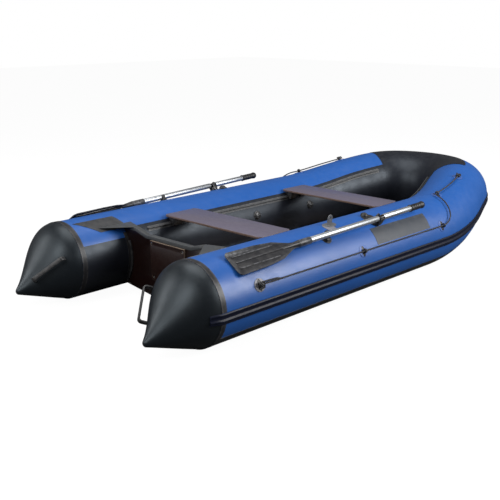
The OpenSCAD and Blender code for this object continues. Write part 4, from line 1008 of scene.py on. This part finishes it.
pads = [padOn("pad" + str(i), weld, weld["radius"], (1, 1, 1), tubeFrame(*place, roundPad["lift"]))
        for i, place in enumerate(fairlead["places"])]
endPad = pads[0]
linePads = joined("linePadsStbd", pads[1:])
endPad.name = endPad.data.name = "endPadStbd"
oneFairlead = fairleadPiece()
leads = joined("fairleadsStbd", [placed(copied(oneFairlead, "fairlead" + str(i)), tubeFrame(*place))
                                 for i, place in enumerate(fairlead["places"])])
bpy.data.objects.remove(oneFairlead)
for piece, material, slotName in ((endPad, padGrey, "grey_pvc"), (linePads, padBlue, "blue_pvc"),
                                  (leads, blackRubber, "black_rubber")):
    smoothed(piece, 50)
    finished(piece, material, "hull", ["rope_rings"])
    finished(mirrored(piece, piece.name.replace("Stbd", "Port")), material, "hull", ["rope_rings"])
print("stage: grab line ready")

# Grey welded base under the upright, placed by its image point
tabBase = {"wide": 0.033, "long": 0.046, "rings": 5, "out": 0.0024, "in": 0.0004, "lip": 0.0008}
basePlace, baseNormal = seenOn(tubeTree, "tabBase")
baseTurn = baseNormal.to_track_quat("Z", "X").to_matrix().to_4x4()
base = padOn("tabBase", tabBase, 1, (tabBase["long"], tabBase["wide"], 1),
             Matrix.Translation(basePlace + roundPad["lift"] * baseNormal) @ baseTurn)
finished(base, padGrey, "hull")

# Floor, backdrop and light
bpy.data.objects.remove(pathObject)
stageLook = {"size": 40, "below": 0.0005, "floor": (0.09, 0.09, 0.09), "seen": 0.96, "world": 0.13}
freshStart()
bpy.ops.mesh.primitive_plane_add(size=stageLook["size"], location=(0, 0, cadBounds[0][2] - stageLook["below"]))
floor = started("floor")
settle(floor)
floorMaterial, floorTree, floorShader = newMaterial("paleFloor")
cameraRay = node(floorTree, "ShaderNodeLightPath").outputs["Is Camera Ray"]
plug(floorTree, floorShader, {
    "Base Color": rgba(stageLook["floor"]), "Roughness": 1, "Specular IOR Level": 0,
    "Emission Color": (1, 1, 1, 1),
    "Emission Strength": maths(floorTree, "MULTIPLY", cameraRay, stageLook["seen"])})
floor.data.materials.append(floorMaterial)

world = bpy.data.worlds.new("softStudio")
bpy.context.scene.world = world
world.use_nodes = True
worldTree = world.node_tree
paths = node(worldTree, "ShaderNodeLightPath").outputs
seen = maths(worldTree, "MAXIMUM", paths["Is Camera Ray"], paths["Is Transmission Ray"])
plug(worldTree, worldTree.nodes["Background"], {
    "Color": (1, 1, 1, 1), "Strength": spread(worldTree, seen, 0, 1, stageLook["world"], 1)})

lights = {"top": {"place": (-0.5, 0.5, 4.5), "size": 3.5, "power": 125, "aim": (0, 0, 0.2)},
          "front": {"place": (-5.2, -0.6, 3.0), "size": 2.6, "power": 110, "aim": (0, 0, 0.2)},
          "right": {"place": (2.4, -4.3, 2.6), "size": 2.8, "power": 260, "aim": (0.0, -0.6, 0.2)},
          "left": {"place": (-4.2, 3.2, 2.2), "size": 2.2, "power": 70, "aim": (-1.2, 0.3, 0.2)}}
for lightName, look in lights.items():
    lightData = bpy.data.lights.new(lightName, "AREA")
    lightData.size, lightData.energy = look["size"], look["power"]
    lamp = bpy.data.objects.new(lightName, lightData)
    lamp.location = look["place"]
    lamp.rotation_euler = (Vector(look["aim"]) - Vector(look["place"])).to_track_quat("-Z", "Y").to_euler()
    bpy.context.collection.objects.link(lamp)
bpy.context.scene.view_settings.view_transform = "Standard"
print("stage: floor and light ready")

# Where each thing shows, set beside its image point; the last of a ray is left out, so no piece hides its own vertex
shown = {"last": 0.004, "padLine": 68, "padReach": 0.06, "woodEdge": 0.003}


def shownPlaces(names, keep=lambda place: True):
    # Where the finished vertices that the camera sees show
    graph = bpy.context.evaluated_depsgraph_get()
    eye, spots = cameraObject.matrix_world.translation, []
    for pieceName in names:
        piece = bpy.data.objects.get(pieceName)
        for vertex in (piece.data.vertices if piece else []):
            place = piece.matrix_world @ vertex.co
            away = place - eye
            if keep(place) and not bpy.context.scene.ray_cast(graph, eye, away.normalized(),
                                                              distance=away.length - shown["last"])[0]:
                spots.append(seenAt(place))
    return spots


def middle(spots):
    # The middle of what shows
    return [(min(spot[i] for spot in spots) + max(spot[i] for spot in spots)) / 2 for i in (0, 1)]


def near(s):
    centre = tubePoint(s, shown["padLine"])
    return lambda place: (place - centre).length < shown["padReach"]


hullNames = ["airTubes", "sternConeStbd", "sternConePort", "strake", "bottomWrap", "sternHandles", "coneSeamTapes"]
padLow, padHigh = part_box("motor_pads")
padMiddle, padHigh = (padLow[0] + padHigh[0]) / 2, padHigh[2] - shown["woodEdge"]
pointPieces = {
    "leftMost": (hullNames, lambda spots: min(spots), lambda p: p.y > 0 and p.x < sternX + 0.1),
    "rightMost": (hullNames, lambda spots: max(spots), lambda p: p.x > 1.3),
    "topMost": (hullNames, lambda spots: min(spots, key=lambda q: q[1]), lambda p: p.x > 0.6),
    "bottomMost": (hullNames, lambda spots: max(spots, key=lambda q: q[1]), lambda p: p.y < 0 and p.x < 0),
    "nearSeam": (["coneSeamTapes"], lambda spots: min(spots, key=lambda q: q[1]), lambda p: p.y < 0),
    "farSeam": (["coneSeamTapes"], lambda spots: min(spots, key=lambda q: q[1]), lambda p: p.y > 0),
    "nearTip": (["sternConeStbd"], middle, lambda p: p.x < sternX - coneLook["length"]),
    "farTip": (["sternConePort"], lambda spots: min(spots), lambda p: True),
    "rearSeatAft": (["seatRear"], lambda spots: min(spots), lambda p: True),
    "frontSeatNear": (["seatFront"], lambda spots: max(spots), lambda p: True),
    "padTop": (["motorPads"], middle, lambda p: p.z > padHigh and p.x < padMiddle),
    "nearBlade": (["oarBladeStbd"], middle, lambda p: True),
    "nearGrip": (["oarGripStbd"], lambda spots: max(spots), lambda p: True),
    "farGrip": (["oarGripPort"], lambda spots: max(spots), lambda p: True),
    "tabTop": (["tabMount"], lambda spots: min(spots, key=lambda q: q[1]), lambda p: True),
    "ringA": (["endPadStbd"], middle, lambda p: True),
    "ringB": (["linePadsStbd"], middle, near(1.054)),
    "ringC": (["linePadsStbd"], middle, near(1.827)),
    "tabBase": (["tabBase"], middle, lambda p: True),
    "portValve": (["valveCapPort", "valveBodies"], middle, lambda p: p.y > 0.2 and p.x < 0.2),
}
bpy.context.view_layer.update()
for pointName, (names, take, keep) in pointPieces.items():
    spots = shownPlaces(names, keep)
    if spots:
        there, asked = take(spots), imagePoints[pointName]
